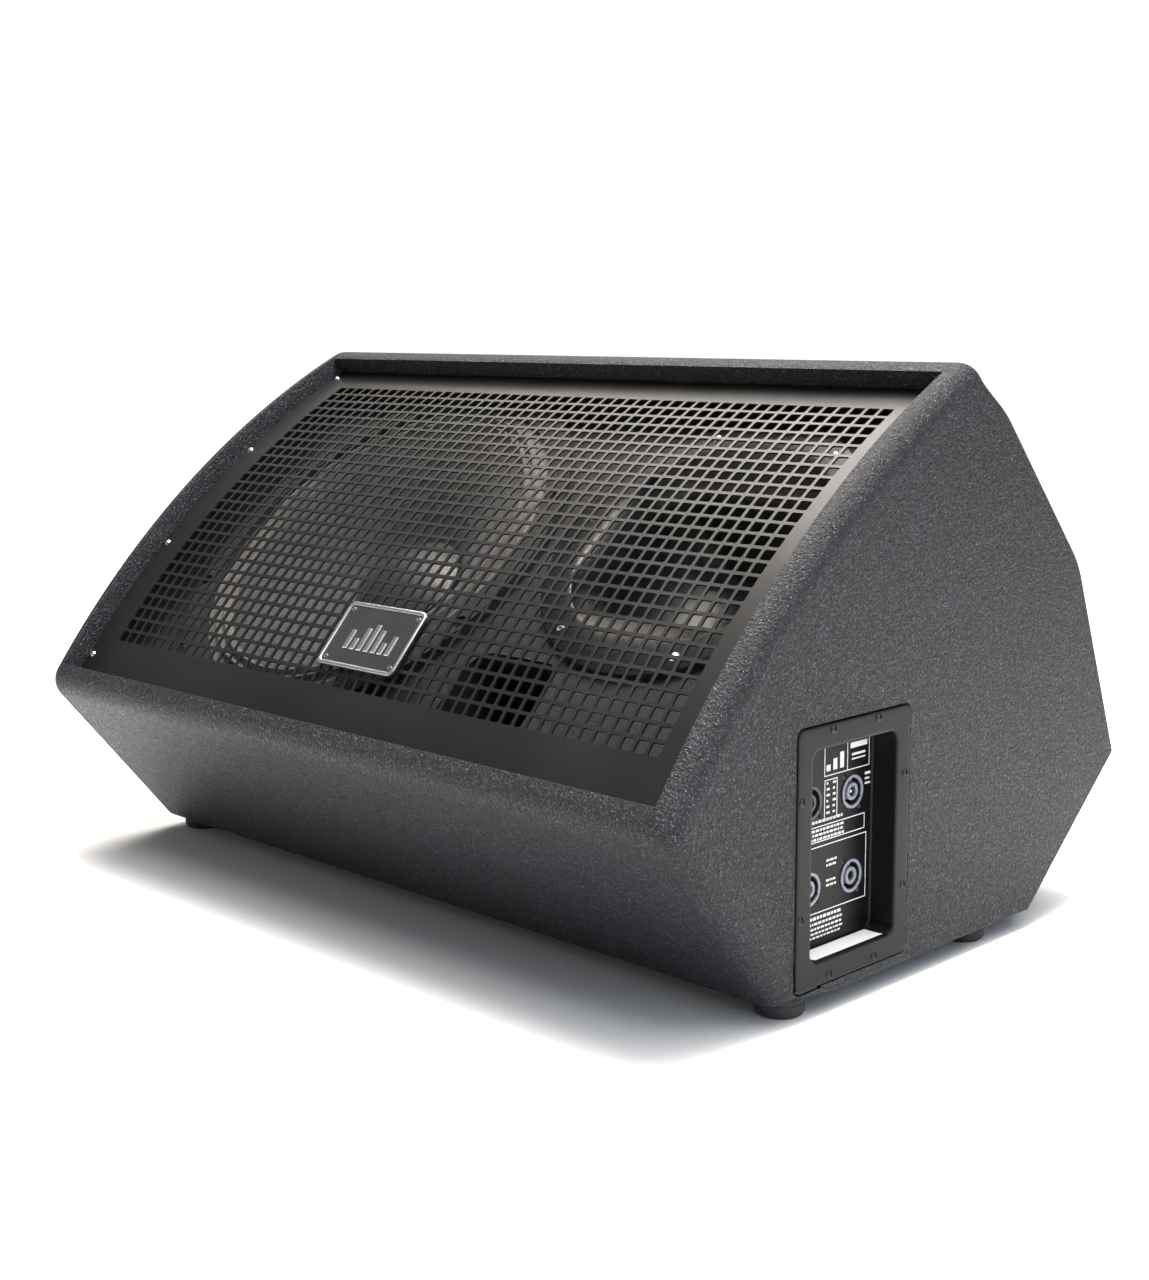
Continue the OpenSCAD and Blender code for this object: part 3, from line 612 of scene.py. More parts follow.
def finish_cloth(name, tone, threads=900, bump=0.0003, rough=0.75, sheen=0.25, doping=0.3):
    """Woven cloth: two sets of threads cross over and under, read along the piece's own UV map
    (u round the ring, v along the profile), with a varnish that fills some gaps."""
    f = Finish(name)
    uv = f.add("ShaderNodeTexCoord").outputs["UV"]
    parts = f.add("ShaderNodeSeparateXYZ")
    f.put(parts.inputs[0], uv)
    warp = f.math("SINE", f.math("MULTIPLY", parts.outputs[0], threads * 2 * math.pi))
    weft = f.math("SINE", f.math("MULTIPLY", parts.outputs[1], threads * 2 * math.pi))
    weave = f.math("MULTIPLY", f.math("ADD", f.math("MULTIPLY", warp, weft), 1.0), 0.5)
    fuzz = f.noise(1500, 5, 0.7)
    varnish = f.ramp(f.noise(60, 3), (0.4, 0.0), (0.65, 1.0))
    colour = f.mix(weave, shade(tone, 0.62), shade(tone, 1.25))
    colour = f.mix(f.math("MULTIPLY", varnish, doping), colour, shade(tone, 0.5))
    height = f.math("ADD", f.math("MULTIPLY", weave, 0.7), f.math("MULTIPLY", fuzz, 0.4))
    return f.done(colour, f.ramp(varnish, (0.0, rough), (1.0, rough * 0.6)), normal=f.bump(height, bump, 0.8),
                  Sheen_Weight=sheen, Sheen_Roughness=0.4)


def finish_wadding(name="wadding"):
    """Polyester wadding: soft tangled fibres with a pale, fuzzy edge."""
    f = Finish(name)
    tangle = f.noise(180, 9, 0.8)
    clump = f.noise(32, 4, 0.6)
    colour = f.ramp(f.math("ADD", f.math("MULTIPLY", tangle, 0.6), f.math("MULTIPLY", clump, 0.4)),
                    (0.32, (0.36, 0.35, 0.32)), (0.66, (0.82, 0.80, 0.75)))
    return f.done(colour, f.ramp(tangle, (0.3, 0.85), (0.7, 1.0)), normal=f.bump(tangle, 0.004, 0.9),
                  Sheen_Weight=0.5, Sheen_Roughness=0.6)


def finish_wound(name, tone, pitch=0.0012, axis=2, metallic=1.0, rough=0.3):
    """Wound wire: fine turns side by side along one axis, varnished, with painted shade in the grooves
    between the turns.
    """
    f = Finish(name)
    wave = f.math("SINE", f.math("MULTIPLY", f.axis(axis), 2 * math.pi / pitch))
    turns = f.ramp(f.math("MULTIPLY", f.math("ADD", wave, 1.0), 0.5), (0.0, 0.0), (0.7, 1.0))
    slow = f.noise(120, 3)
    # painted shade: the grooves between the turns are darkened to under half the wire's tone
    colour = f.mix(turns, shade(tone, 0.45), f.ramp(slow, (0.3, shade(tone, 0.85)), (0.7, shade(tone, 1.15))))
    return f.done(colour, f.ramp(slow, (0.3, rough * 0.8), (0.7, rough * 1.3)), metallic,
                  f.bump(turns, 0.0003, 0.7))


def finish_floor(tone):
    """Seamless pale floor with a barely visible tooth."""
    f = Finish("studio_floor")
    tooth = f.noise(240, 3)
    colour = f.ramp(tooth, (0.3, shade(tone, 0.99)), (0.7, tone))
    return f.done(colour, f.ramp(tooth, (0.3, 0.85), (0.7, 0.95)), Specular_IOR_Level=0.1)


MATERIALS = {}


def finish(slot):
    """The material of a record slot, made when it is first asked for."""
    if slot not in MATERIALS:
        d, w = settings("driver"), settings("dish")
        plastic = functools.partial(finish_plastic, slot)
        metal = functools.partial(finish_metal, slot)
        MATERIALS[slot] = {
            "textured_coat": finish_coat,
            "grille_coat": finish_powder,
            "cone_paper": finish_paper,
            "wadding": finish_wadding,
            "cap_paper_finish": lambda: plastic(shade(d.paper, 0.9), 0.5, 500, 0.0002, 0.15, 0.3),
            "baffle_paint": lambda: plastic((0.016, 0.016, 0.017), 0.62, 420, 0.0007, 0.0, 0.35),
            "bright_screw": lambda: metal((0.72, 0.72, 0.72), 0.24, 900),
            "black_screw": lambda: metal((0.05, 0.05, 0.052), 0.35, 900),
            "badge_field": lambda: plastic((0.024, 0.024, 0.026), 0.3, 1200, 0.00005, 0.5),
            "badge_white": lambda: metal((0.80, 0.80, 0.81), 0.3, 1400, 0.05, 0.00004),
            "basket": lambda: plastic((0.03, 0.03, 0.031), 0.45, 500, 0.0004, 0.1),
            "gasket": lambda: plastic((0.022, 0.022, 0.022), 0.85, 700, 0.0006, 0.0, 0.3),
            "surround_cloth": lambda: finish_cloth(slot, d.cloth, 620, 0.0003, 0.62, 0.3, 0.25),
            "spider_cloth": lambda: finish_cloth(slot, (0.42, 0.30, 0.14), 260, 0.0003, 0.7, 0.2, 0.5),
            "former_film": lambda: plastic((0.40, 0.22, 0.06), 0.3, 900, 0.00005, 0.5),
            "copper": lambda: finish_wound(slot, (0.80, 0.42, 0.20)),
            "plated_steel": lambda: metal((0.55, 0.54, 0.50), 0.36, 380, 0.12),
            "ferrite": lambda: plastic((0.045, 0.045, 0.048), 0.55, 300, 0.0004, 0.0, 0.3),
            "terminal": lambda: plastic((0.30, 0.02, 0.02), 0.35, 800, 0.00008, 0.3),
            "horn_plastic": lambda: plastic(d.moulding, 0.36, 500, 0.00004, 0.0, 0.3, 0.6),
            "titanium": lambda: metal((0.62, 0.58, 0.50), 0.3, 700),
            "dish_plastic": lambda: plastic(w.plastic, 0.38, 800, 0.0001, 0.0, 0.18, 0.17),
            "socket_black": lambda: plastic((0.020, 0.020, 0.021), 0.38, 900, 0.00008, 0.1),
            "socket_grey": lambda: plastic((0.22, 0.24, 0.29), 0.45, 900, 0.00008, 0.0, 0.12),
            "socket_nickel": lambda: metal((0.70, 0.69, 0.66), 0.25, 800),
            "label_white": lambda: plastic(w.print, 0.5, 1500, 0.00002, 0.0, 0.05),
            "board": lambda: plastic((0.10, 0.16, 0.05), 0.4, 500, 0.00008, 0.3),
            "capacitor": lambda: plastic((0.55, 0.38, 0.05), 0.35, 300, 0.00005, 0.3),
            "cable": lambda: plastic((0.02, 0.02, 0.022), 0.5, 700, 0.0001, 0.0),
            "foot_rubber": lambda: plastic((0.018, 0.018, 0.018), 0.7, 420, 0.0004, 0.0, 0.3),
        }[slot]()
    return MATERIALS[slot]


def node_slot(o):
    """The record's material slot of a CAD node."""
    name = o.data.materials[0].name if o.data.materials and o.data.materials[0] else ""
    known = [m["slot"] for m in frame["record"]["materials"]]
    return next((k for k in known if name == k or name.startswith(k + ".")), None)


# ---------------------------------------------------------------- cabinet

def outline():
    """The cabinet's side view as points (u, h), with the side roll's radius and the inward direction at
    each, the places of the middles of four corners, the lines' own corners, and the front's circle.
    The corners are F, the bottom lip; E, the front bottom edge; D and C, the ends of the rear panel; B,
    the knee; and A, the top lip. Straight runs join a fillet of radius lip at F and at A, the knee's bend
    and small roundings; the front is a circle about the grille's centre."""
    s, g = settings("cabinet"), settings("grille")
    centre = np.array(arc_centre())
    big = g.radius + 0.018
    face = -0.4274
    e, d, c = np.array([-0.4270, -0.176251]), np.array([-0.18887, -0.3782]), np.array([-0.0229, -0.3782])
    b, a = np.array([0.0330, -0.2111]), np.array([0.0240, 0.0180])
    r = s.lip
    ff = np.array([face + r, centre[1] + math.sqrt((big - r) ** 2 - (face + r - centre[0]) ** 2)])
    along = (a - b) / np.linalg.norm(a - b)
    n = -np.array([-along[1], along[0]])
    kn = n @ a - r - n @ centre
    t_n = math.atan2(n[1], n[0])
    t_a = t_n + math.acos(kn / (big - r))
    fa = centre + (big - r) * np.array([math.cos(t_a), math.sin(t_a)])
    t_f = math.atan2(ff[1] - centre[1], ff[0] - centre[0])
    f_top = np.array([face, ff[1]])
    corner = 0.004
    ed = (d - e) / np.linalg.norm(d - e)
    parts, rolls, inward = [], [], []

    def put(p, roll, direction=None):
        """Adds a run of points; where no direction is given it is square to the outline."""
        p = np.atleast_2d(p)
        parts.append(p)
        rolls.append(np.broadcast_to(np.asarray(roll, float), (len(p),)).copy())
        if direction is None:
            direction = (np.nan, np.nan)
        inward.append(np.broadcast_to(direction, p.shape))

    # down the front: the bottom lip, the kick panel and the front bottom edge
    put(arc(ff, r, t_f, math.pi, 9), s.roll)
    put(np.linspace(f_top, e, 8)[1:-1], s.roll, (1.0, 0.0))
    under = np.array([-ed[1], ed[0]])
    put(fillet(f_top, e, d, corner, 5), s.roll, (1.0, 0.0))
    # the underside, on which the side roll fades to the plain edge, and the back
    k = np.linspace(0, 1, 13)[1:]
    put(e + ed * (corner + 0.055 * k)[:, None], s.roll + (s.edge - s.roll) * k * k * (3 - 2 * k),
        np.array([1.0, 0.0]) + k[:, None] * (under - [1.0, 0.0]))
    put(fillet(e, d, c, corner, 5), s.edge)
    put(fillet(d, c, b, corner, 5), s.edge)
    put(fillet(c, b, a, s.knee, 13), s.edge)
    # the upper back, on which the plain edge grows to the side roll, the top lip and the curved front
    foot = fa + r * np.array([math.cos(t_n), math.sin(t_n)])
    k = np.linspace(0, 1, 13)[:-1]
    put(foot - along * (0.05 * (1 - k))[:, None], s.edge + (s.roll - s.edge) * k * k * (3 - 2 * k), -n)
    put(arc(fa, r, t_n, t_a, 11), s.roll)
    put(arc(centre, big, t_a, t_f, 49)[1:-1], s.roll)
    p, roll, way = np.concatenate(parts), np.concatenate(rolls), np.concatenate(inward)
    step = np.roll(p, -1, 0) - np.roll(p, 1, 0)
    normal = np.stack([-step[:, 1], step[:, 0]], -1)
    way = np.where(np.isnan(way), normal, way)
    way /= np.linalg.norm(way, axis=1, keepdims=True)
    starts = np.cumsum([0] + [len(q) for q in parts])
    mid = {"E": starts[2] + 2, "D": starts[4] + 2, "C": starts[5] + 2, "B": starts[6] + 6}
    lines = {"E": e, "D": d, "C": c, "B": b, "A": a, "F": np.array([face, 0.0]), "along": along, "n": n}
    return p, roll, way, mid, lines, (centre, big)


def wall_lines(lines):
    """Inner corners of the walls: each is where the two neighbouring walls' inner faces cross."""
    s = settings("cabinet")

    def crossing(p, q, r, tp, tq):
        p, q, r = (np.asarray(k, float) for k in (p, q, r))
        d, f = (q - p) / np.linalg.norm(q - p), (r - q) / np.linalg.norm(r - q)
        a, c = p + tp * np.array([-d[1], d[0]]), r + tq * np.array([-f[1], f[0]])
        k = ((c[0] - a[0]) * f[1] - (c[1] - a[1]) * f[0]) / (d[0] * f[1] - d[1] * f[0])
        return a + k * d

    top_a = lines["A"] + 0.06 * lines["along"]
    return {"E": crossing((lines["F"][0], 0.018), lines["E"], lines["D"], s.kick, s.back),
            "D": crossing(lines["E"], lines["D"], lines["C"], s.back, s.back),
            "C": crossing(lines["D"], lines["C"], lines["B"], s.back, s.back),
            "B": crossing(lines["C"], lines["B"], lines["A"], s.back, s.top),
            "A": top_a - s.top * lines["n"]}


def side_shell(sign, node):
    """A side panel with its rolled edges. Its grid is (profile step, place round the outline): the
    profile goes from the inner face over a 1 mm edge, out along the thickness and round a quarter
    circle x = half - R + R sin t, inset = R (1 - cos t), to the flat side, and on the right into the
    connector plate's opening, whose rings are drawn at the outline's own angles from the plate's centre."""
    s, dish = settings("cabinet"), settings("dish")
    p, roll, way, *_ = outline()
    inner = HALF - s.side
    y, z = lean(p[:, 0], p[:, 1])
    a = s.tilt
    wy = way[:, 0] * math.cos(a) - way[:, 1] * math.sin(a)
    wz = way[:, 0] * math.sin(a) + way[:, 1] * math.cos(a)
    hub = np.array([dish.behind, dish.above])
    angle = np.unwrap(np.arctan2(z - hub[1], y - hub[0]))
    if angle[-1] < angle[0]:
        angle, y, z, wy, wz, roll = (k[::-1] for k in (angle, y, z, wy, wz, roll))
        angle = np.unwrap(angle)
    holes = [(dish.width + 0.002, dish.height + 0.002, 0.007),
             (dish.well_width + 0.008, dish.well_height + 0.008, 0.010)]
    wanted = np.unique(np.concatenate([rounded_angles(*h) for h in holes]))

    def ring(k):
        """A row of values closed by its first."""
        return np.append(k, k[0])

    # places of the wanted angles along the closed outline, where each ray crosses a straight run
    yy, zz, aa = ring(y), ring(z), np.append(angle, angle[0] + 2 * math.pi)
    w = (wanted - aa[0]) % (2 * math.pi) + aa[0]
    seg = np.clip(np.searchsorted(aa, w, side="right") - 1, 0, len(y) - 1)
    dx, dy = np.cos(w), np.sin(w)
    ay, az, by, bz = yy[seg] - hub[0], zz[seg] - hub[1], yy[seg + 1] - hub[0], zz[seg + 1] - hub[1]
    ca, cb = ay * dy - az * dx, by * dy - bz * dx
    extra = np.sort(seg + np.clip(ca / (ca - cb), 0, 1))
    clear = np.abs(extra - np.round(extra)) > 0.02
    clear &= np.concatenate([[True], np.diff(extra) > 1e-4])
    index = np.sort(np.concatenate([np.arange(len(y)), extra[clear]]))
    base = np.arange(len(y) + 1)
    y, z, wy, wz, roll = (np.interp(index, base, ring(k)) for k in (y, z, wy, wz, roll))
    size = np.hypot(wy, wz)
    wy, wz = wy / size, wz / size
    rows = []

    def row(inset, x):
        """The outline drawn in by inset, at one place or places across."""
        rows.append((x + 0 * y, y + wy * inset, z + wz * inset))

    edge = 0.0004
    row(0.012, inner)
    row(edge, inner)
    row(edge * 0.29, inner + edge * 0.29)
    row(0.0, inner + edge * 0.95)
    for t in np.linspace(0, math.pi / 2, 8):
        row(roll * (1 - math.cos(t)), np.maximum(HALF - roll + roll * math.sin(t), inner + edge))
    row(roll + 0.0012, HALF)
    last = rows[-1]
    theta = np.arctan2(last[2] - hub[1], last[1] - hub[0])

    def opening(hole, x):
        """A rounded rectangle about the plate's centre, at the outline's own angles."""
        r = rounded_radius(*hole, theta)
        rows.append((x + 0 * y, hub[0] + r * np.cos(theta), hub[1] + r * np.sin(theta)))

    if sign > 0:
        w0, h0, c0 = holes[0]
        opening((w0 + 0.003, h0 + 0.003, c0 + 0.0015), HALF)
        opening((w0 + 0.0006, h0 + 0.0006, c0 + 0.0003), HALF)
        opening(holes[0], HALF - 0.0004)
        opening(holes[0], HALF - 0.0026)
        opening(holes[1], HALF - 0.0026)
        opening(holes[1], inner)
    x, y, z = np.array(rows).transpose(1, 0, 2)
    name = "side_shell_right" if sign > 0 else "side_shell_left"
    return loft(name, cabinet_place(sign * x, y, z), finish("textured_coat"), closed=sign > 0,
                slot="textured_coat", replaces=[node])


def panel(name, outer, inner, node):
    """A wall between the side panels: the outline's own points outside and straight lines inside,
    carried across from side to side."""
    s = settings("cabinet")
    ring = np.concatenate([outer, inner])
    x = np.array([-1, 1]) * (HALF - s.side)
    place = seat(x[:, None], ring[None, :, 0], ring[None, :, 1])
    return loft(name, place, finish("textured_coat"), slot="textured_coat", replaces=[node], smooth=30)


def build_cabinet():
    """The two side panels and the five walls between them, each ending at the middle of a corner."""
    s = settings("cabinet")
    p, _, _, mid, lines, (centre, big) = outline()
    q = wall_lines(lines)
    side_shell(1, "side_panel_right")
    side_shell(-1, "side_panel_left")
    n = len(p)

    def run(i, j):
        return p[np.arange(i, j + 1) % n]

    panel("bottom_shell", run(mid["E"], mid["D"]), np.array([q["D"], q["E"]]), "bottom_panel")
    panel("rear_shell", run(mid["D"], mid["C"]), np.array([q["C"], q["D"]]), "rear_panel")
    panel("lower_back_shell", run(mid["C"], mid["B"]), np.array([q["B"], q["C"]]), "lower_back_panel")
    # the upper back panel ends in the top lip, whose inner face is the panel's own inner line
    top = run(mid["B"], n - 1)
    depth = (lines["A"] - top) @ lines["n"]
    top = top[depth < s.top - 0.0006]
    # where the inner line from B meets the circle about the grille's centre
    from_centre = q["B"] - centre
    half_b, c = from_centre @ lines["along"], from_centre @ from_centre - big ** 2
    end = q["B"] + (-half_b + math.sqrt(half_b * half_b - c)) * lines["along"]
    shoulder = top[-1] + (end - top[-1]) * 0.55
    panel("upper_back_shell", np.concatenate([top, [shoulder, end - lines["along"] * 0.0010]]),
          np.array([q["B"]]), "upper_back_panel")
    # the kick panel ends in the bottom lip in the same way
    inner_u = lines["F"][0] + s.kick
    first = p[:mid["E"] + 1]
    top_in = np.array([inner_u, centre[1] + math.sqrt(big ** 2 - (inner_u - centre[0]) ** 2)])
    first = first[(first[:, 0] < inner_u - 0.001) | (first[:, 1] < -0.02)]
    kick = np.concatenate([[top_in - [0, 0.0010]], [top_in - [0.0008, 0.0]], first])
    panel("kick_shell", kick, np.array([q["E"], [inner_u, q["E"][1] + 0.02]]), "kick_panel")


def build_grille():
    """The perforated sheet: every hole is a twelve-cornered ring inside its own square of the lattice,
    on the front and on the back, with a wall between; plain strips fill out the margins. Each point
    (x, s) is laid on the arc."""
    g = settings("grille")
    s0, s1 = -g.top_margin - 0.0006, 0.3766
    half_x = HALF - settings("cabinet").side - 0.0003
    nx, ny, p = g.columns, g.rows, g.pitch
    xs = np.concatenate([[-half_x, -half_x + 0.012], (np.arange(nx + 1) - nx / 2) * p,
                         [half_x - 0.012, half_x]])
    ss = np.concatenate([np.linspace(s0, -p / 2, 4)[:-1], (np.arange(ny + 1) - 0.5) * p,
                         np.linspace((ny - 0.5) * p, s1, 5)[1:]])
    cols, rows = len(xs), len(ss)
    gx, gs = np.meshgrid(xs, ss)
    # one layer's lattice, then each hole's ring
    c = g.corner
    q = g.hole / 2
    t = np.radians([0, 45, 90])
    quarter = np.stack([q - c + c * np.cos(t), q - c + c * np.sin(t)], -1)
    ring = np.concatenate([quarter, quarter[::-1] * [-1, 1], -quarter, quarter[::-1] * [1, -1]])
    i, j = np.meshgrid(np.arange(ny), np.arange(nx), indexing="ij")
    i, j = i.ravel(), j.ravel()
    hx = (j - (nx - 1) / 2)[:, None] * p + ring[None, :, 0]
    hs = i[:, None] * p + ring[None, :, 1]
    layer_x = np.concatenate([gx.ravel(), hx.ravel()])
    layer_s = np.concatenate([gs.ravel(), hs.ravel()])
    count_layer = len(layer_x)
    points = np.concatenate([on_grille(layer_x, layer_s, 0.0 * layer_x),
                             on_grille(layer_x, layer_s, 0.0 * layer_x - g.thickness)])
    li, lj = i + PLAIN_ROWS, j + PLAIN_COLUMNS
    corner = np.stack([(li + 1) * cols + lj + 1, (li + 1) * cols + lj, li * cols + lj,
                       li * cols + lj + 1], -1)
    hole = cols * rows + (i * nx + j)[:, None] * HOLE_CORNERS + np.arange(HOLE_CORNERS)[None]
    quads, tris = [], []
    for k in range(4):
        a, b = corner[:, k], corner[:, (k + 1) % 4]
        h0, h1, h2, h3 = (hole[:, (3 * k + m) % HOLE_CORNERS] for m in (0, 1, 2, 3))
        tris += [np.stack([a, h1, h0], -1), np.stack([a, h2, h1], -1)]
        quads.append(np.stack([a, b, h3, h2], -1))
    plain = grid_faces(rows, cols, False)
    fi, fj = plain[:, 0] // cols, plain[:, 0] % cols
    holed = (fi >= PLAIN_ROWS) & (fi < PLAIN_ROWS + ny) & (fj >= PLAIN_COLUMNS) & (fj < PLAIN_COLUMNS + nx)
    plain = plain[~holed]
    front_q = np.concatenate([np.concatenate(quads)[:, ::-1], plain])
    front_t = np.concatenate(tris)[:, ::-1]
    after = np.roll(hole, -1, 1)
    walls = np.stack([hole, after, after + count_layer, hole + count_layer], -1)
    walls = walls.transpose(1, 0, 2).reshape(-1, 4)
    faces = [front_q, front_t, front_q[:, ::-1] + count_layer, front_t[:, ::-1] + count_layer, walls,
             edge_wall(rows, cols, count_layer)]
    piece("grille_mesh", points, faces, finish("grille_coat"), slot="grille_coat", replaces=["grille_sheet"])


def build_badge():
    """The badge: a plate with a drawn-in edge, a raised rim whose profile is carried round a rounded
    rectangle, and the plain level-meter bars."""
    g = settings("grille")
    w, h = g.badge_width, g.badge_height

    origin = on_grille(0.0, g.badge_place, 0.0)
    ex = np.array([1.0, 0, 0])
    ey = on_grille(0.0, g.badge_place - 0.001, 0.0) - on_grille(0.0, g.badge_place + 0.001, 0.0)
    ey /= np.linalg.norm(ey)
    ez = np.cross(ex, ey)

    def place(x, y, z):
        return origin + x[..., None] * ex + y[..., None] * ey + z[..., None] * ez

    def carried(profile):
        """A profile of (inset, height) carried round the badge's rounded rectangle."""
        rings = []
        for inset, z in profile:
            r = rounded_ring(w - 2 * inset, h - 2 * inset, 0.006 - inset)
            rings.append(place(r[:, 0], r[:, 1], z + 0 * r[:, 0]))
        return rings

    base = carried(((0.0006, 0.0016), (0.0, 0.0022), (0.0, 0.0038), (0.0006, 0.0042), (0.0030, 0.00425)))
    loft("badge_base", base, finish("badge_field"), slot="badge_field", replaces=["badge_plate"])
    rings = carried(((0.0, 0.0042), (0.00005, 0.0047), (0.0006, 0.0051), (0.0017, 0.00525),
                     (0.0027, 0.0051), (0.0032, 0.0047), (0.0032, 0.0042)))
    rim = (np.asarray(rings).reshape(-1, 3), [grid_faces(7, len(rings[0]), True, True)])
    k = np.arange(-3, 4)
    tall = 0.008 + 0.017 * np.abs(np.cos(np.radians(k * 41)))
    bars = np.stack([k * 0.0084 - 0.0001, -0.013 + 0 * k, k * 0.0084 + 0.0046, -0.013 + tall], -1)
    points, faces = join([rim, blocks(bars, 0.0042, 0.0051, place, 0.0003)])
    piece("badge_trim", points, faces, finish("badge_white"), slot="badge_white", replaces=["badge_rim"])


def ring_uv(obj, m, n):
    """UV map of a lofted ring: u is the place round the ring and v the place along the profile."""
    mesh = obj.data
    loops = np.zeros(len(mesh.loops), int)
    mesh.loops.foreach_get("vertex_index", loops)
    uv = mesh.uv_layers.new(name="weave")
    values = np.stack([(loops % n) / n, (loops // n) / m], -1)
    uv.data.foreach_set("uv", values.ravel())


def radial_blend(obj):
    """Bakes a ring of cloth's placement into its points and reads the points back; it moves none of them."""
    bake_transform(obj)
    co = np.zeros(len(obj.data.vertices) * 3, np.float32)
    obj.data.vertices.foreach_get("co", co)


def cloth_ring(name, r0, r1, z, waves, rise, thickness, place, material, replaces, steps, turns, flat=()):
    """A pleated ring: z + rise (1 - cos(2 pi k t)) / 2 between two radii, doubled for its thickness."""
    t = np.linspace(0, 1, steps)
    r = r0 + (r1 - r0) * t
    h = z[0] + (z[1] - z[0]) * t + rise * (0.5 - 0.5 * np.cos(2 * math.pi * waves * t))
    line = np.stack([r, h], -1)
    if len(flat):
        line = np.concatenate([line, flat])
    top = line + [0, thickness]
    profile = np.concatenate([line, top[::-1]])
    obj = lathe(name, profile, place, material, steps=turns, closed=True, replaces=replaces, smooth=60,
                body=None)
    ring_uv(obj, len(profile), turns)
    return obj


def axis_of(place):
    """A driver's origin and the direction of its axis."""
    o = place(np.zeros(1), np.zeros(1), np.zeros(1))[0]
    z = place(np.zeros(1), np.zeros(1), np.ones(1))[0] - o
    return o, z / np.linalg.norm(z)


def build_woofer():
    """Cone with pressed rings, domed cap, pleated surround and corrugated spider."""
    d = settings("driver")
    k = np.array([[0.0519, -0.0584], [0.060, -0.0518], [0.080, -0.0364], [0.110, -0.0163], [0.140, 0.0001],
                  [0.146, 0.0020]])
    r = np.linspace(0.0519, d.cone, 90)
    z = np.interp(r, k[:, 0], k[:, 1])
    z = np.convolve(np.pad(z, 4, mode="edge"), np.ones(9) / 9, "valid")
    z[:5], z[-5:] = np.interp(r[:5], k[:, 0], k[:, 1]), np.interp(r[-5:], k[:, 0], k[:, 1])
    ribs = sum(0.0009 * np.exp(-((r - c) / 0.0016) ** 2) for c in (0.078, 0.092, 0.106, 0.120, 0.134))
    line = np.stack([r, z], -1)
    profile = np.concatenate([line + np.stack([0 * r, ribs + 0.0007], -1), (line - [0, 0.0006])[::-1]])
    lathe("woofer_cone_paper", profile, at_woofer, finish("cone_paper"), steps=144, body=WOOFER,
          slot="cone_paper", replaces=["woofer_cone"], smooth=60)
    rise, rim = d.cap_rise, d.cap
    ball = (rim * rim + rise * rise) / (2 * rise)
    t = np.linspace(0.002, math.asin(rim / ball), 28)
    ball_centre = rise - ball - 0.0486
    dome = np.stack([ball * np.sin(t), ball_centre + ball * np.cos(t)], -1)
    skirt = [[rim + 0.0008, dome[-1, 1] - 0.0002], [rim + 0.0014, -0.0558], [rim + 0.0002, -0.0568]]
    inside = ball - 0.0012
    under = np.stack([inside * np.sin(t), ball_centre + inside * np.cos(t)], -1)[::-1]
    cap = np.concatenate([dome, skirt, under])
    lathe("woofer_cap", cap, at_woofer, finish("cap_paper_finish"), steps=112, body=WOOFER,
          slot="cone_paper", closed=False, replaces=["woofer_dust_cap"], smooth=60)
    o, z_axis = axis_of(at_woofer)
    surround = cloth_ring("woofer_surround_cloth", 0.1462, 0.163, (0.0022, 0.0031), 2, 0.0068, 0.0008,
                          at_woofer, finish("surround_cloth"), ["woofer_surround"], 44, 168,
                          flat=[[0.1712, 0.0031]])
    radial_blend(surround)
    spider = cloth_ring("woofer_spider_cloth", 0.0516, 0.084, (-0.0814, -0.0814), 4, 0.004, 0.0006,
                        at_woofer, finish("spider_cloth"), ["woofer_spider"], 66, 120,
                        flat=[[0.090, -0.0816]])
    radial_blend(spider)


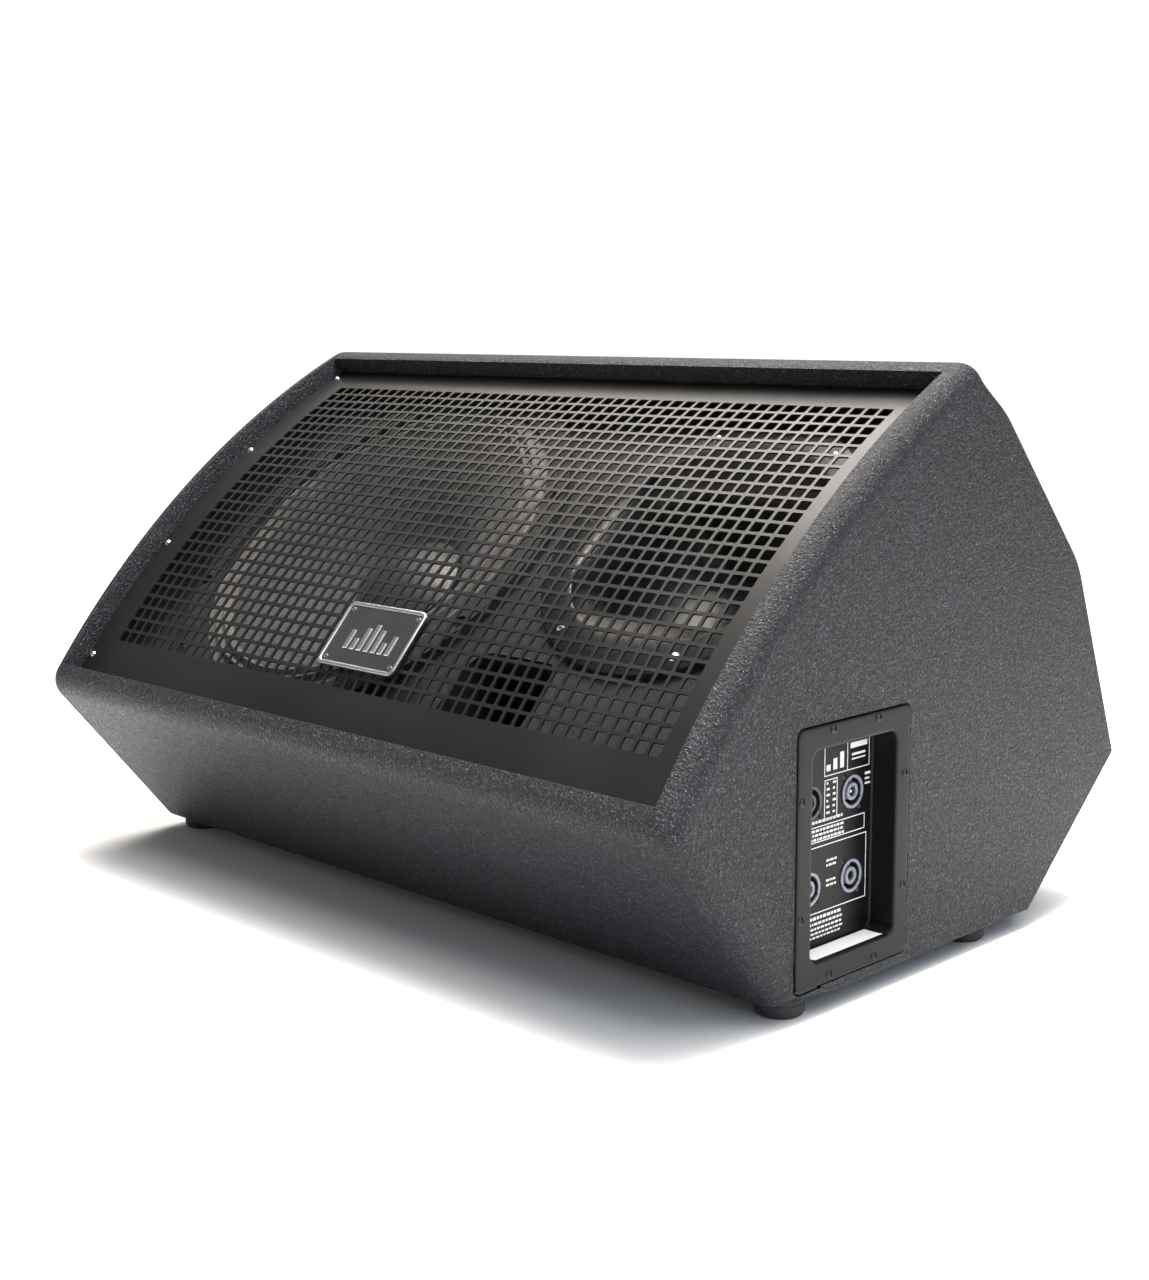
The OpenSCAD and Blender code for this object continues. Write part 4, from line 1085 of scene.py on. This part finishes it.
def build_horn():
    """The horn: a round throat opens through a creased, four-cornered section into a round mouth. A
    section is a superellipse (|cos t|^n + |sin t|^n)^(-1/n) whose power n rises and falls again; it ends
    in a rolled lip and a round flange, and goes back along its outside to the throat."""
    d = settings("driver")
    n_round = 144
    t = np.arange(n_round) * 2 * math.pi / n_round

    def rise(a, b, k):
        q = np.clip((k - a) / (b - a), 0, 1)
        return q * q * (3 - 2 * q)

    # (size, height): a quarter ellipse from the throat into steep walls, then a cubic curve over the roll
    k = np.linspace(0, 1, 22)
    flare = np.stack([d.throat + (0.077 - d.throat) * np.sin(k * math.pi / 2) ** 1.15,
                      -0.026 - (d.depth - 0.026) * np.cos(k * math.pi / 2) ** 0.9], -1)
    q = np.linspace(0, 1, 18)[1:, None]
    p0, p3 = flare[-1], np.array([d.mouth + 0.006, 0.0075])
    p1, p2 = p0 + [0.002, 0.022], p3 - [0.020, 0.0]
    roll = (1 - q) ** 3 * p0 + 3 * (1 - q) ** 2 * q * p1 + 3 * (1 - q) * q * q * p2 + q ** 3 * p3
    line = np.concatenate([flare, roll])
    steps = np.concatenate([0.62 * k, 0.62 + 0.38 * q[:, 0]])[:, None]
    square = rise(0.04, 0.30, steps) * (1 - rise(0.66, 1.0, steps))
    power, wide, flat = 2 + 4.0 * square, 1 + 0.12 * square, 1 - 0.18 * square
    c, s = np.cos(t)[None], np.sin(t)[None]
    r = np.minimum((np.abs(c) ** power + np.abs(s) ** power) ** (-1 / power), 1.21) * line[:, :1]
    inner = at_horn(r * c * wide, r * s * flat, np.repeat(line[:, 1:], n_round, 1))
    tail = np.array([[d.flange - 0.0018, 0.0075], [d.flange - 0.0005, 0.0069], [d.flange, 0.0056],
                     [d.flange, 0.0002], [0.1105, 0.0002], [0.108, -0.006]])
    outer_steps = np.linspace(1, 0, 12)
    outer = np.stack([0.058 + (0.108 - 0.058) * outer_steps ** 0.6,
                      -d.depth + 0.008 + (d.depth - 0.016) * outer_steps], -1)
    rest = np.concatenate([tail, outer, [[0.058, -d.depth], [d.throat, -d.depth]]])
    lap = at_horn(rest[:, :1] * c, rest[:, :1] * s, np.repeat(rest[:, 1:], n_round, 1))
    loft("horn_moulding", np.concatenate([inner, lap]), finish("horn_plastic"), closed=True,
         slot="horn_plastic", replaces=["horn_flare"], smooth=50)


def build_dish():
    """The connector plate with its recess, the recess's floor with four round openings, the print and
    the label. The plate's profile is a row of rounded rectangles (width, height, corner, out)."""
    d = settings("dish")
    spec = [(d.width - 0.003, d.height - 0.003, 0.0045, -0.00255), (d.width, d.height, 0.006, -0.00255),
            (d.width, d.height, 0.006, 0.0001), (d.width - 0.0006, d.height - 0.0006, 0.0057, 0.00046),
            (d.width - 0.0014, d.height - 0.0014, 0.0053, 0.0006),
            (d.width - 0.004, d.height - 0.004, 0.0050, 0.00062),
            (d.well_width + 0.005, d.well_height + 0.005, 0.0105, 0.00062),
            (d.well_width + 0.0022, d.well_height + 0.0022, 0.0091, 0.00056),
            (d.well_width + 0.0008, d.well_height + 0.0008, 0.0084, 0.0002),
            (d.well_width, d.well_height, 0.008, -0.0008),
            (d.well_width, d.well_height, 0.008, -0.0020),
            (d.well_width - 0.0006, d.well_height - 0.0006, 0.0077, -d.well_depth + 0.003),
            (d.well_width - 0.0014, d.well_height - 0.0014, 0.0073, -d.well_depth + 0.0012),
            (d.well_width - 0.0036, d.well_height - 0.0036, 0.0062, -d.well_depth + 0.0002),
            (d.well_width - 0.007, d.well_height - 0.007, 0.0045, -d.well_depth),
            (d.well_width - 0.007, d.well_height - 0.007, 0.0045, -d.well_depth - 0.003),
            (d.well_width + 0.006, d.well_height + 0.006, 0.009, -d.well_depth - 0.003),
            (d.well_width + 0.006, d.well_height + 0.006, 0.009, -0.0030)]
    angles = np.unique(np.concatenate([rounded_angles(w, h, r) for w, h, r, _ in spec[::3]]))
    rings = []
    for w, h, r, z in spec:
        k = rounded_radius(w, h, r, angles)
        rings.append(on_dish(k * np.cos(angles), k * np.sin(angles), z + 0 * k))
    shell = (np.asarray(rings).reshape(-1, 3), [grid_faces(len(spec), len(angles), True, True)])
    # the floor: four cells, each from a circle to its rectangle at the same angles
    w, h = d.well_width / 2 - 0.0035, d.well_height / 2 - 0.0035
    parts = [shell]
    for sx, sy, cy in ((-1, 1, d.up), (1, 1, d.up), (-1, -1, -d.down), (1, -1, -d.down)):
        cx = sx * d.apart
        x0, x1 = (-w, 0.0) if sx < 0 else (0.0, w)
        y0, y1 = (0.0, h) if sy > 0 else (-h, 0.0)
        corners = np.arctan2(np.array([y0, y0, y1, y1]) - cy, np.array([x0, x1, x1, x0]) - cx) % (2 * math.pi)
        a = np.unique(np.concatenate([np.arange(64) * 2 * math.pi / 64, corners]))
        c, s = np.cos(a), np.sin(a)
        reach = np.minimum(np.where(c > 0, x1 - cx, cx - x0) / np.maximum(np.abs(c), 1e-9),
                           np.where(s > 0, y1 - cy, cy - y0) / np.maximum(np.abs(s), 1e-9))
        rows = []
        for r, z in ((0.0119 + 0 * a, -0.003), (0.0119 + 0 * a, -0.0002), (0.0121 + 0 * a, 0.0), (reach, 0.0),
                     (reach, -0.003)):
            rows.append(on_dish(cx + r * c, cy + r * s, -d.well_depth + z + 0 * a))
        parts.append((np.asarray(rows).reshape(-1, 3), [grid_faces(5, len(a), True, True)]))
    oriented = []
    for p, f in parts:
        oriented.append((p, f if signed_volume(p, f) > 0 else [g[:, ::-1] for g in f]))
    points, faces = join(oriented)
    piece("dish_moulding", points, faces, finish("dish_plastic"), slot="dish_plastic", replaces=["jack_dish"],
          solid=False)
    # print: frames, blocks and rows of short dashes, none of them a letter
    line = 0.0007
    rects = framed(-0.0085, 0.0465, 0.0445, 0.0700, line) + framed(-0.0080, 0.0160, 0.0070, 0.0440, line)
    rects += [(0.0180, 0.0465, 0.0187, 0.0700)]
    rects += framed(-0.0440, 0.0010, 0.0400, 0.0125, line) + framed(-0.0440, -0.0500, 0.0425, -0.0020, line)
    rects += [(0.0215, 0.0620, 0.0415, 0.0660), (0.0235, 0.0565, 0.0395, 0.0582),
              (0.0235, 0.0535, 0.0395, 0.0546)]
    rects += [(-0.0060 + 0.0078 * i, 0.0500, -0.0060 + 0.0078 * i + 0.0045, 0.0500 + 0.0045 + 0.0035 * i)
              for i in range(3)]

    def dashes(x0, x1, y, tall, seed):
        """A row of short dashes from x0 to x1, their widths taken from a sine so that no two rows match."""
        k = np.arange(14)
        wide = 0.0016 + 0.0022 * np.abs(np.sin(seed + 2.3 * k))
        left = x0 + np.cumsum(wide + 0.0011) - wide
        return [(a, y, a + b, y + tall) for a, b in zip(left, wide) if a + b < x1]

    for i, y in enumerate((0.0405, 0.0363, 0.0321, 0.0279, 0.0237, 0.0195)):
        rects += dashes(-0.0066, -0.0004, y, 0.0016, i) + dashes(0.0006, 0.0062, y, 0.0016, i + 5)
    rects += dashes(-0.0440, 0.0430, 0.0148, 0.0020, 1.7)
    for i, y in enumerate((0.0088, 0.0056, 0.0024)):
        rects += dashes(-0.0425, 0.0385, y, 0.0017, 3 + i)
    for i, y in enumerate((-0.0150, -0.0185, -0.0295, -0.0330)):
        rects += dashes(-0.0055, 0.0075, y, 0.0016, 2.1 + i)
    rows = ((-0.0545, 0.0022), (-0.0583, 0.0018), (-0.0618, 0.0016), (-0.0650, 0.0014), (-0.0680, 0.0014))
    for i, (y, tall) in enumerate(rows):
        rects += dashes(-0.0440 + 0.002 * (i % 2), 0.0440, y, tall, 6.3 + i)
    rects += [(0.0395, 0.0400, 0.0460, 0.0420), (0.0395, 0.0365, 0.0450, 0.0380),
              (0.0395, 0.0330, 0.0460, 0.0345)]
    points, faces = blocks(rects, -d.well_depth - 0.0001, -d.well_depth + 0.00012, on_dish, 0.00004)
    piece("dish_print", points, faces, finish("label_white"), slot="label_white")
    # label on the recess's lower wall, curling up a little at its front edge
    low = -d.well_height / 2
    x = np.linspace(-d.well_width / 2 + 0.009, d.well_width / 2 - 0.009, 24)
    out = np.linspace(-d.well_depth + 0.0012, -0.0022, 10)
    gx, go = np.meshgrid(x, out)
    curl = 0.00035 + 0.0005 * np.clip((go + 0.008) / 0.006, 0, 1) ** 2
    thick = 0.00018
    slab("dish_sticker", on_dish(gx, low + curl + thick, go), on_dish(gx, low + curl, go),
         finish("label_white"), slot="label_white", replaces=["dish_label"])


def build_sockets():
    """Four keyed speaker sockets: a wide ring with three notches round a deep annular slot, and a post
    with a bore. The upper front one is black, the others grey. Radii are turned about each socket's axis."""
    d = settings("dish")
    sockets = (("socket_upper_front", -1, d.up, False), ("socket_upper_rear", 1, d.up, True),
               ("socket_lower_front", -1, -d.down, True), ("socket_lower_rear", 1, -d.down, True))
    for name, side, height, pale in sockets:
        def place(x, y, z, cx=side * d.apart, cy=height):
            return on_dish(cx + x, cy + y, -d.well_depth + z)

        barrel = np.array([[0.0002, -0.0182], [0.0118, -0.0180], [0.0118, 0.0002], [0.0121, 0.0003],
                           [0.0119, 0.0005], [0.0101, 0.0005], [0.0100, 0.0001], [0.0099, -0.0172],
                           [0.0064, -0.0172], [0.0063, -0.0006], [0.0060, -0.0002], [0.0028, -0.0002],
                           [0.0025, -0.0008], [0.0024, -0.0076], [0.0001, -0.0077]])
        lathe(name + "_barrel", barrel, place, finish("socket_black"), steps=72, closed=False,
              slot="socket_black", replaces=[name], smooth=40)
        t = np.arange(144) * 2 * math.pi / 144
        notch = np.exp(-((np.degrees(t)[None] - np.array([[90.0], [210.0], [330.0]])) / 5.5) ** 4).sum(0)
        bite = 0.0098 + 0.0009 * notch
        ring = [[d.ring, 0.0003], [d.ring, 0.0009], [d.ring - 0.0003, 0.0012], [bite + 0.0003, 0.0012],
                [bite, 0.0009], [bite, 0.0003]]
        tone, slot = ("socket_grey", "socket_nickel") if pale else ("socket_black", "socket_black")
        rows = [place(r * np.cos(t), r * np.sin(t), z + 0 * t) for r, z in ring]
        loft(name + "_ring", rows, finish(tone), closed=True, slot=slot)
        post = np.array([[0.0064, -0.004], [0.0064, 0.0004], [0.0060, 0.0008], [0.0041, 0.0008],
                         [0.0037, 0.0004], [0.0036, -0.004]])
        lathe(name + "_post", post, place, finish(tone), steps=64, slot=slot)
        # contact strips standing in the slot
        parts = []
        for a in np.radians([60, 180, 300]):
            c, s = math.cos(a), math.sin(a)
            parts.append(blocks([(0.0068, -0.0014, 0.0080, 0.0014)], -0.016, -0.004,
                                lambda x, y, z, c=c, s=s: place(x * c - y * s, x * s + y * c, z), 0.0002))
        points, faces = join(parts)
        piece(name + "_contacts", points, faces, finish("socket_nickel"), slot="socket_nickel")
    pin = np.array([[0.0002, -0.0070], [0.0016, -0.0070], [0.0016, -0.0012], [0.0012, -0.0006],
                    [0.0002, -0.0004]])
    lathe("socket_pin", pin, lambda x, y, z: on_dish(d.apart + x, d.up + y, -d.well_depth + z),
          finish("bright_screw"), steps=32, closed=False, slot="bright_screw")


def build_feet():
    """Turned rubber feet: a flat sole with a rounded edge, a shallow groove and a tapered shoulder."""
    profile = np.array([[0.0062, 0.0070], [0.0062, 0.0006], [0.0070, 0.0], [0.0135, 0.0], [0.0155, 0.0004],
                        [0.0170, 0.0014], [0.0179, 0.0030], [0.0180, 0.0050], [0.0180, 0.0090],
                        [0.0176, 0.0094], [0.0176, 0.0102], [0.0180, 0.0106], [0.0180, 0.0136],
                        [0.0178, 0.01399], [0.0026, 0.01399], [0.0024, 0.0072]])
    for node in ("foot_front_left", "foot_front_right", "foot_rear_left", "foot_rear_right"):
        low, high = box(node)
        middle = (low + high) / 2

        def place(x, y, z, m=middle, z0=low[2]):
            return np.stack([m[0] + x, m[1] + y, z0 + z], -1)

        lathe(node + "_rubber", profile, place, finish("foot_rubber"), steps=72, slot="foot_rubber",
              replaces=[node])


def build_lining():
    """Wadding on the rear wall: a slab whose free face swells and dips,
    h = t (0.72 + 0.17 sin a sin b + 0.08 sin c), and thins to nothing at its edges."""
    low, high = box("rear_lining")
    nx, nz = 120, 40
    u = np.linspace(0, 1, nx)
    v = np.linspace(0, 1, nz)
    gu, gv = np.meshgrid(u, v)
    edge = np.minimum(1, np.minimum(np.minimum(gu, 1 - gu) * 26, np.minimum(gv, 1 - gv) * 9)) ** 0.5
    swell = 0.72 + 0.17 * np.sin(gu * 31 + 1.5 * np.sin(gv * 7)) * np.sin(gv * 11 + 1)
    swell = swell + 0.08 * np.sin(gu * 67 + gv * 23)
    q = wall_lines(outline()[4])
    start, stop = q["D"] + [0.008, 0.0003], q["C"] + [-0.022, 0.0003]
    su = start[0] + (stop[0] - start[0]) * gv
    x = (gu - 0.5) * (high[0] - low[0])
    face = seat(x, su, start[1] + 0.0215 * swell * edge)
    back = seat(x, su, start[1] + 0 * su)
    pad = slab("rear_wadding", face, back, finish("wadding"), slot="wadding", replaces=["rear_lining"],
               smooth=70)


def build_finishes():
    """Gives every CAD node that is still shown the finish of its record slot."""
    for name, o in frame["nodes"].items():
        slot = node_slot(o)
        if slot is None:
            raise RuntimeError("no record slot for the material of " + name)
        o.data.materials.clear()
        o.data.materials.append(finish(slot))


# ---------------------------------------------------------------- stage

def aim(place, target):
    """Orientation of a lamp at a place that looks at a target."""
    back = Vector(place) - Vector(target)
    return back.to_track_quat("Z", "Y").to_matrix().to_4x4()


def lamp(name, place, target, size, watts, tone):
    """A rectangular area lamp that looks at a target."""
    light = bpy.data.lights.new(name, "AREA")
    light.shape, light.size, light.size_y = "RECTANGLE", *size
    light.energy, light.color = watts, tone
    obj = bpy.data.objects.new(name, light)
    bpy.context.scene.collection.objects.link(obj)
    obj.matrix_world = Matrix.Translation(place) @ aim(place, target)


def build_stage():
    """The floor, the camera, the room's even light with a bright backdrop, four area lamps and a soft
    light from above."""
    s = settings("stage")
    scene = bpy.context.scene
    t = np.linspace(-1, 1, 41)
    half_floor, below = 6, 0.0002
    gx, gy = np.meshgrid(t * half_floor, t * half_floor)
    floor = piece("studio_floor", np.stack([gx, gy, 0 * gx - below], -1), [grid_faces(41, 41, False)],
                  finish_floor(s.floor), body=None, solid=False)
    floor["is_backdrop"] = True
    az, el, roll = math.radians(45.328), math.radians(7.337), math.radians(-0.153)
    forward = Vector((-math.sin(az) * math.cos(el), math.cos(az) * math.cos(el), -math.sin(el)))
    right = Vector((math.cos(az), math.sin(az), 0))
    up = right.cross(forward)
    turned = Matrix((right, up, -forward)).transposed() @ Matrix.Rotation(roll, 3, "Z")
    camera = bpy.data.cameras.new("camera")
    camera.lens, camera.sensor_width, camera.clip_start = s.lens, 36.0, 0.05
    camera.shift_x, camera.shift_y = 0.02695, -0.0625
    view = bpy.data.objects.new("camera", camera)
    scene.collection.objects.link(view)
    view.matrix_world = Matrix.Translation((1.12075, -1.13189, 0.47844)) @ turned.to_4x4()
    scene.camera = view
    world = bpy.data.worlds.new("room")
    scene.world = world
    world.use_nodes = True
    tree = world.node_tree
    fill = tree.nodes["Background"]
    white = (1.0, 1.0, 1.0, 1.0)
    fill.inputs["Color"].default_value = white
    fill.inputs["Strength"].default_value = s.fill
    sky = tree.nodes.new("ShaderNodeBackground")
    sky.inputs["Color"].default_value = white
    sky.inputs["Strength"].default_value = s.sky
    path = tree.nodes.new("ShaderNodeLightPath")
    both = tree.nodes.new("ShaderNodeMixShader")
    tree.links.new(path.outputs["Is Camera Ray"], both.inputs[0])
    tree.links.new(fill.outputs[0], both.inputs[1])
    tree.links.new(sky.outputs[0], both.inputs[2])
    tree.links.new(both.outputs[0], tree.nodes["World Output"].inputs["Surface"])
    lamp("lamp_key", (-0.92, 0.70, 2.25), (0.1, 0, 0.28), (1.3, 1.6), 50, (1.0, 0.93, 0.85))
    lamp("lamp_over", (0.25, 0.10, 2.3), (0.30, 0, 0.3), (1.2, 1.2), 110, (1.0, 0.94, 0.88))
    lamp("lamp_right", (2.3, -0.6, 1.3), (0.3, 0, 0.25), (1.4, 1.6), 19, (0.72, 0.84, 1.0))
    lamp("lamp_front", (-0.9, -2.2, 0.5), (-0.1, 0, 0.2), (1.4, 0.8), 3, (1.0, 0.97, 0.95))
    sun = bpy.data.lights.new("lamp_top", "SUN")
    sun.energy, sun.angle, sun.color = s.top, math.radians(60), (1.0, 0.985, 0.965)
    above = bpy.data.objects.new("lamp_top", sun)
    scene.collection.objects.link(above)
    above.matrix_world = Matrix.Translation((0.5, 0.1, 2.6)) @ aim((0.5, 0.1, 2.6), (0, 0, 0.1))
    scene.view_settings.view_transform = "Standard"


# ---------------------------------------------------------------- operators and panel

class WEDGE_OT_stage(bpy.types.Operator):
    """Makes the floor, lights and camera"""
    bl_idname = "wedge.stage"
    bl_label = "Stage"
    bl_options = {"REGISTER", "UNDO"}

    def execute(self, context):
        build_stage()
        return {"FINISHED"}


class WEDGE_OT_finishes(bpy.types.Operator):
    """Gives the carried-over parts their materials"""
    bl_idname = "wedge.finishes"
    bl_label = "Finishes"
    bl_options = {"REGISTER", "UNDO"}

    def execute(self, context):
        build_finishes()
        return {"FINISHED"}


class WEDGE_OT_cabinet(bpy.types.Operator):
    """Makes the panels with their rolled edges"""
    bl_idname = "wedge.cabinet"
    bl_label = "Cabinet"
    bl_options = {"REGISTER", "UNDO"}

    def execute(self, context):
        build_cabinet()
        return {"FINISHED"}


class WEDGE_OT_grille(bpy.types.Operator):
    """Makes the perforated steel grille"""
    bl_idname = "wedge.grille"
    bl_label = "Grille"
    bl_options = {"REGISTER", "UNDO"}

    def execute(self, context):
        build_grille()
        return {"FINISHED"}


class WEDGE_OT_badge(bpy.types.Operator):
    """Makes the badge with its rim and bars"""
    bl_idname = "wedge.badge"
    bl_label = "Badge"
    bl_options = {"REGISTER", "UNDO"}

    def execute(self, context):
        build_badge()
        return {"FINISHED"}


class WEDGE_OT_woofer(bpy.types.Operator):
    """Makes the cone, cap, surround and spider"""
    bl_idname = "wedge.woofer"
    bl_label = "Woofer"
    bl_options = {"REGISTER", "UNDO"}

    def execute(self, context):
        build_woofer()
        return {"FINISHED"}


class WEDGE_OT_horn(bpy.types.Operator):
    """Makes the creased horn moulding"""
    bl_idname = "wedge.horn"
    bl_label = "Horn"
    bl_options = {"REGISTER", "UNDO"}

    def execute(self, context):
        build_horn()
        return {"FINISHED"}


class WEDGE_OT_dish(bpy.types.Operator):
    """Makes the connector plate, print and label"""
    bl_idname = "wedge.dish"
    bl_label = "Connector dish"
    bl_options = {"REGISTER", "UNDO"}

    def execute(self, context):
        build_dish()
        return {"FINISHED"}


class WEDGE_OT_sockets(bpy.types.Operator):
    """Makes the four sockets"""
    bl_idname = "wedge.sockets"
    bl_label = "Sockets"
    bl_options = {"REGISTER", "UNDO"}

    def execute(self, context):
        build_sockets()
        return {"FINISHED"}


class WEDGE_OT_feet(bpy.types.Operator):
    """Makes the rubber feet"""
    bl_idname = "wedge.feet"
    bl_label = "Feet"
    bl_options = {"REGISTER", "UNDO"}

    def execute(self, context):
        build_feet()
        return {"FINISHED"}


class WEDGE_OT_lining(bpy.types.Operator):
    """Makes the wadding on the rear wall"""
    bl_idname = "wedge.lining"
    bl_label = "Lining"
    bl_options = {"REGISTER", "UNDO"}

    def execute(self, context):
        build_lining()
        return {"FINISHED"}


OPERATORS = [WEDGE_OT_stage, WEDGE_OT_finishes, WEDGE_OT_cabinet, WEDGE_OT_grille, WEDGE_OT_badge,
             WEDGE_OT_woofer, WEDGE_OT_horn, WEDGE_OT_dish, WEDGE_OT_sockets, WEDGE_OT_feet, WEDGE_OT_lining]
GROUPS = {"cabinet": WedgeCabinetSettings, "grille": WedgeGrilleSettings, "driver": WedgeDriverSettings,
          "dish": WedgeDishSettings, "stage": WedgeStageSettings}


class WEDGE_PT_panel(bpy.types.Panel):
    """Lists the wedge's operators and settings"""
    bl_label = "Stage Monitor Wedge"
    bl_idname = "WEDGE_PT_panel"
    bl_space_type = "VIEW_3D"
    bl_region_type = "UI"
    bl_category = "Wedge"

    def draw(self, context):
        for o in OPERATORS:
            self.layout.operator(o.bl_idname)
        for name, group in GROUPS.items():
            part = self.layout.box()
            part.label(text=name.capitalize())
            for key in group.__annotations__:
                part.prop(getattr(context.scene, "wedge_" + name), key)


def register():
    for cls in (*GROUPS.values(), *OPERATORS, WEDGE_PT_panel):
        bpy.utils.register_class(cls)
    for name, group in GROUPS.items():
        setattr(bpy.types.Scene, "wedge_" + name, PointerProperty(type=group))


def unregister():
    for name in GROUPS:
        delattr(bpy.types.Scene, "wedge_" + name)
    for cls in (WEDGE_PT_panel, *reversed(OPERATORS), *reversed(list(GROUPS.values()))):
        bpy.utils.unregister_class(cls)


def plain(bounds):
    """A box's corners as plain lists of numbers."""
    return [[float(v) for v in corner] for corner in bounds]


def main():
    """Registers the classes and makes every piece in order."""
    register()
    for o in OPERATORS:
        getattr(bpy.ops.wedge, o.bl_idname.split(".")[1])()
    {"cad": plain(CAD_BOX), "visual": plain(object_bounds())}


if __name__ == "__main__":
    main()
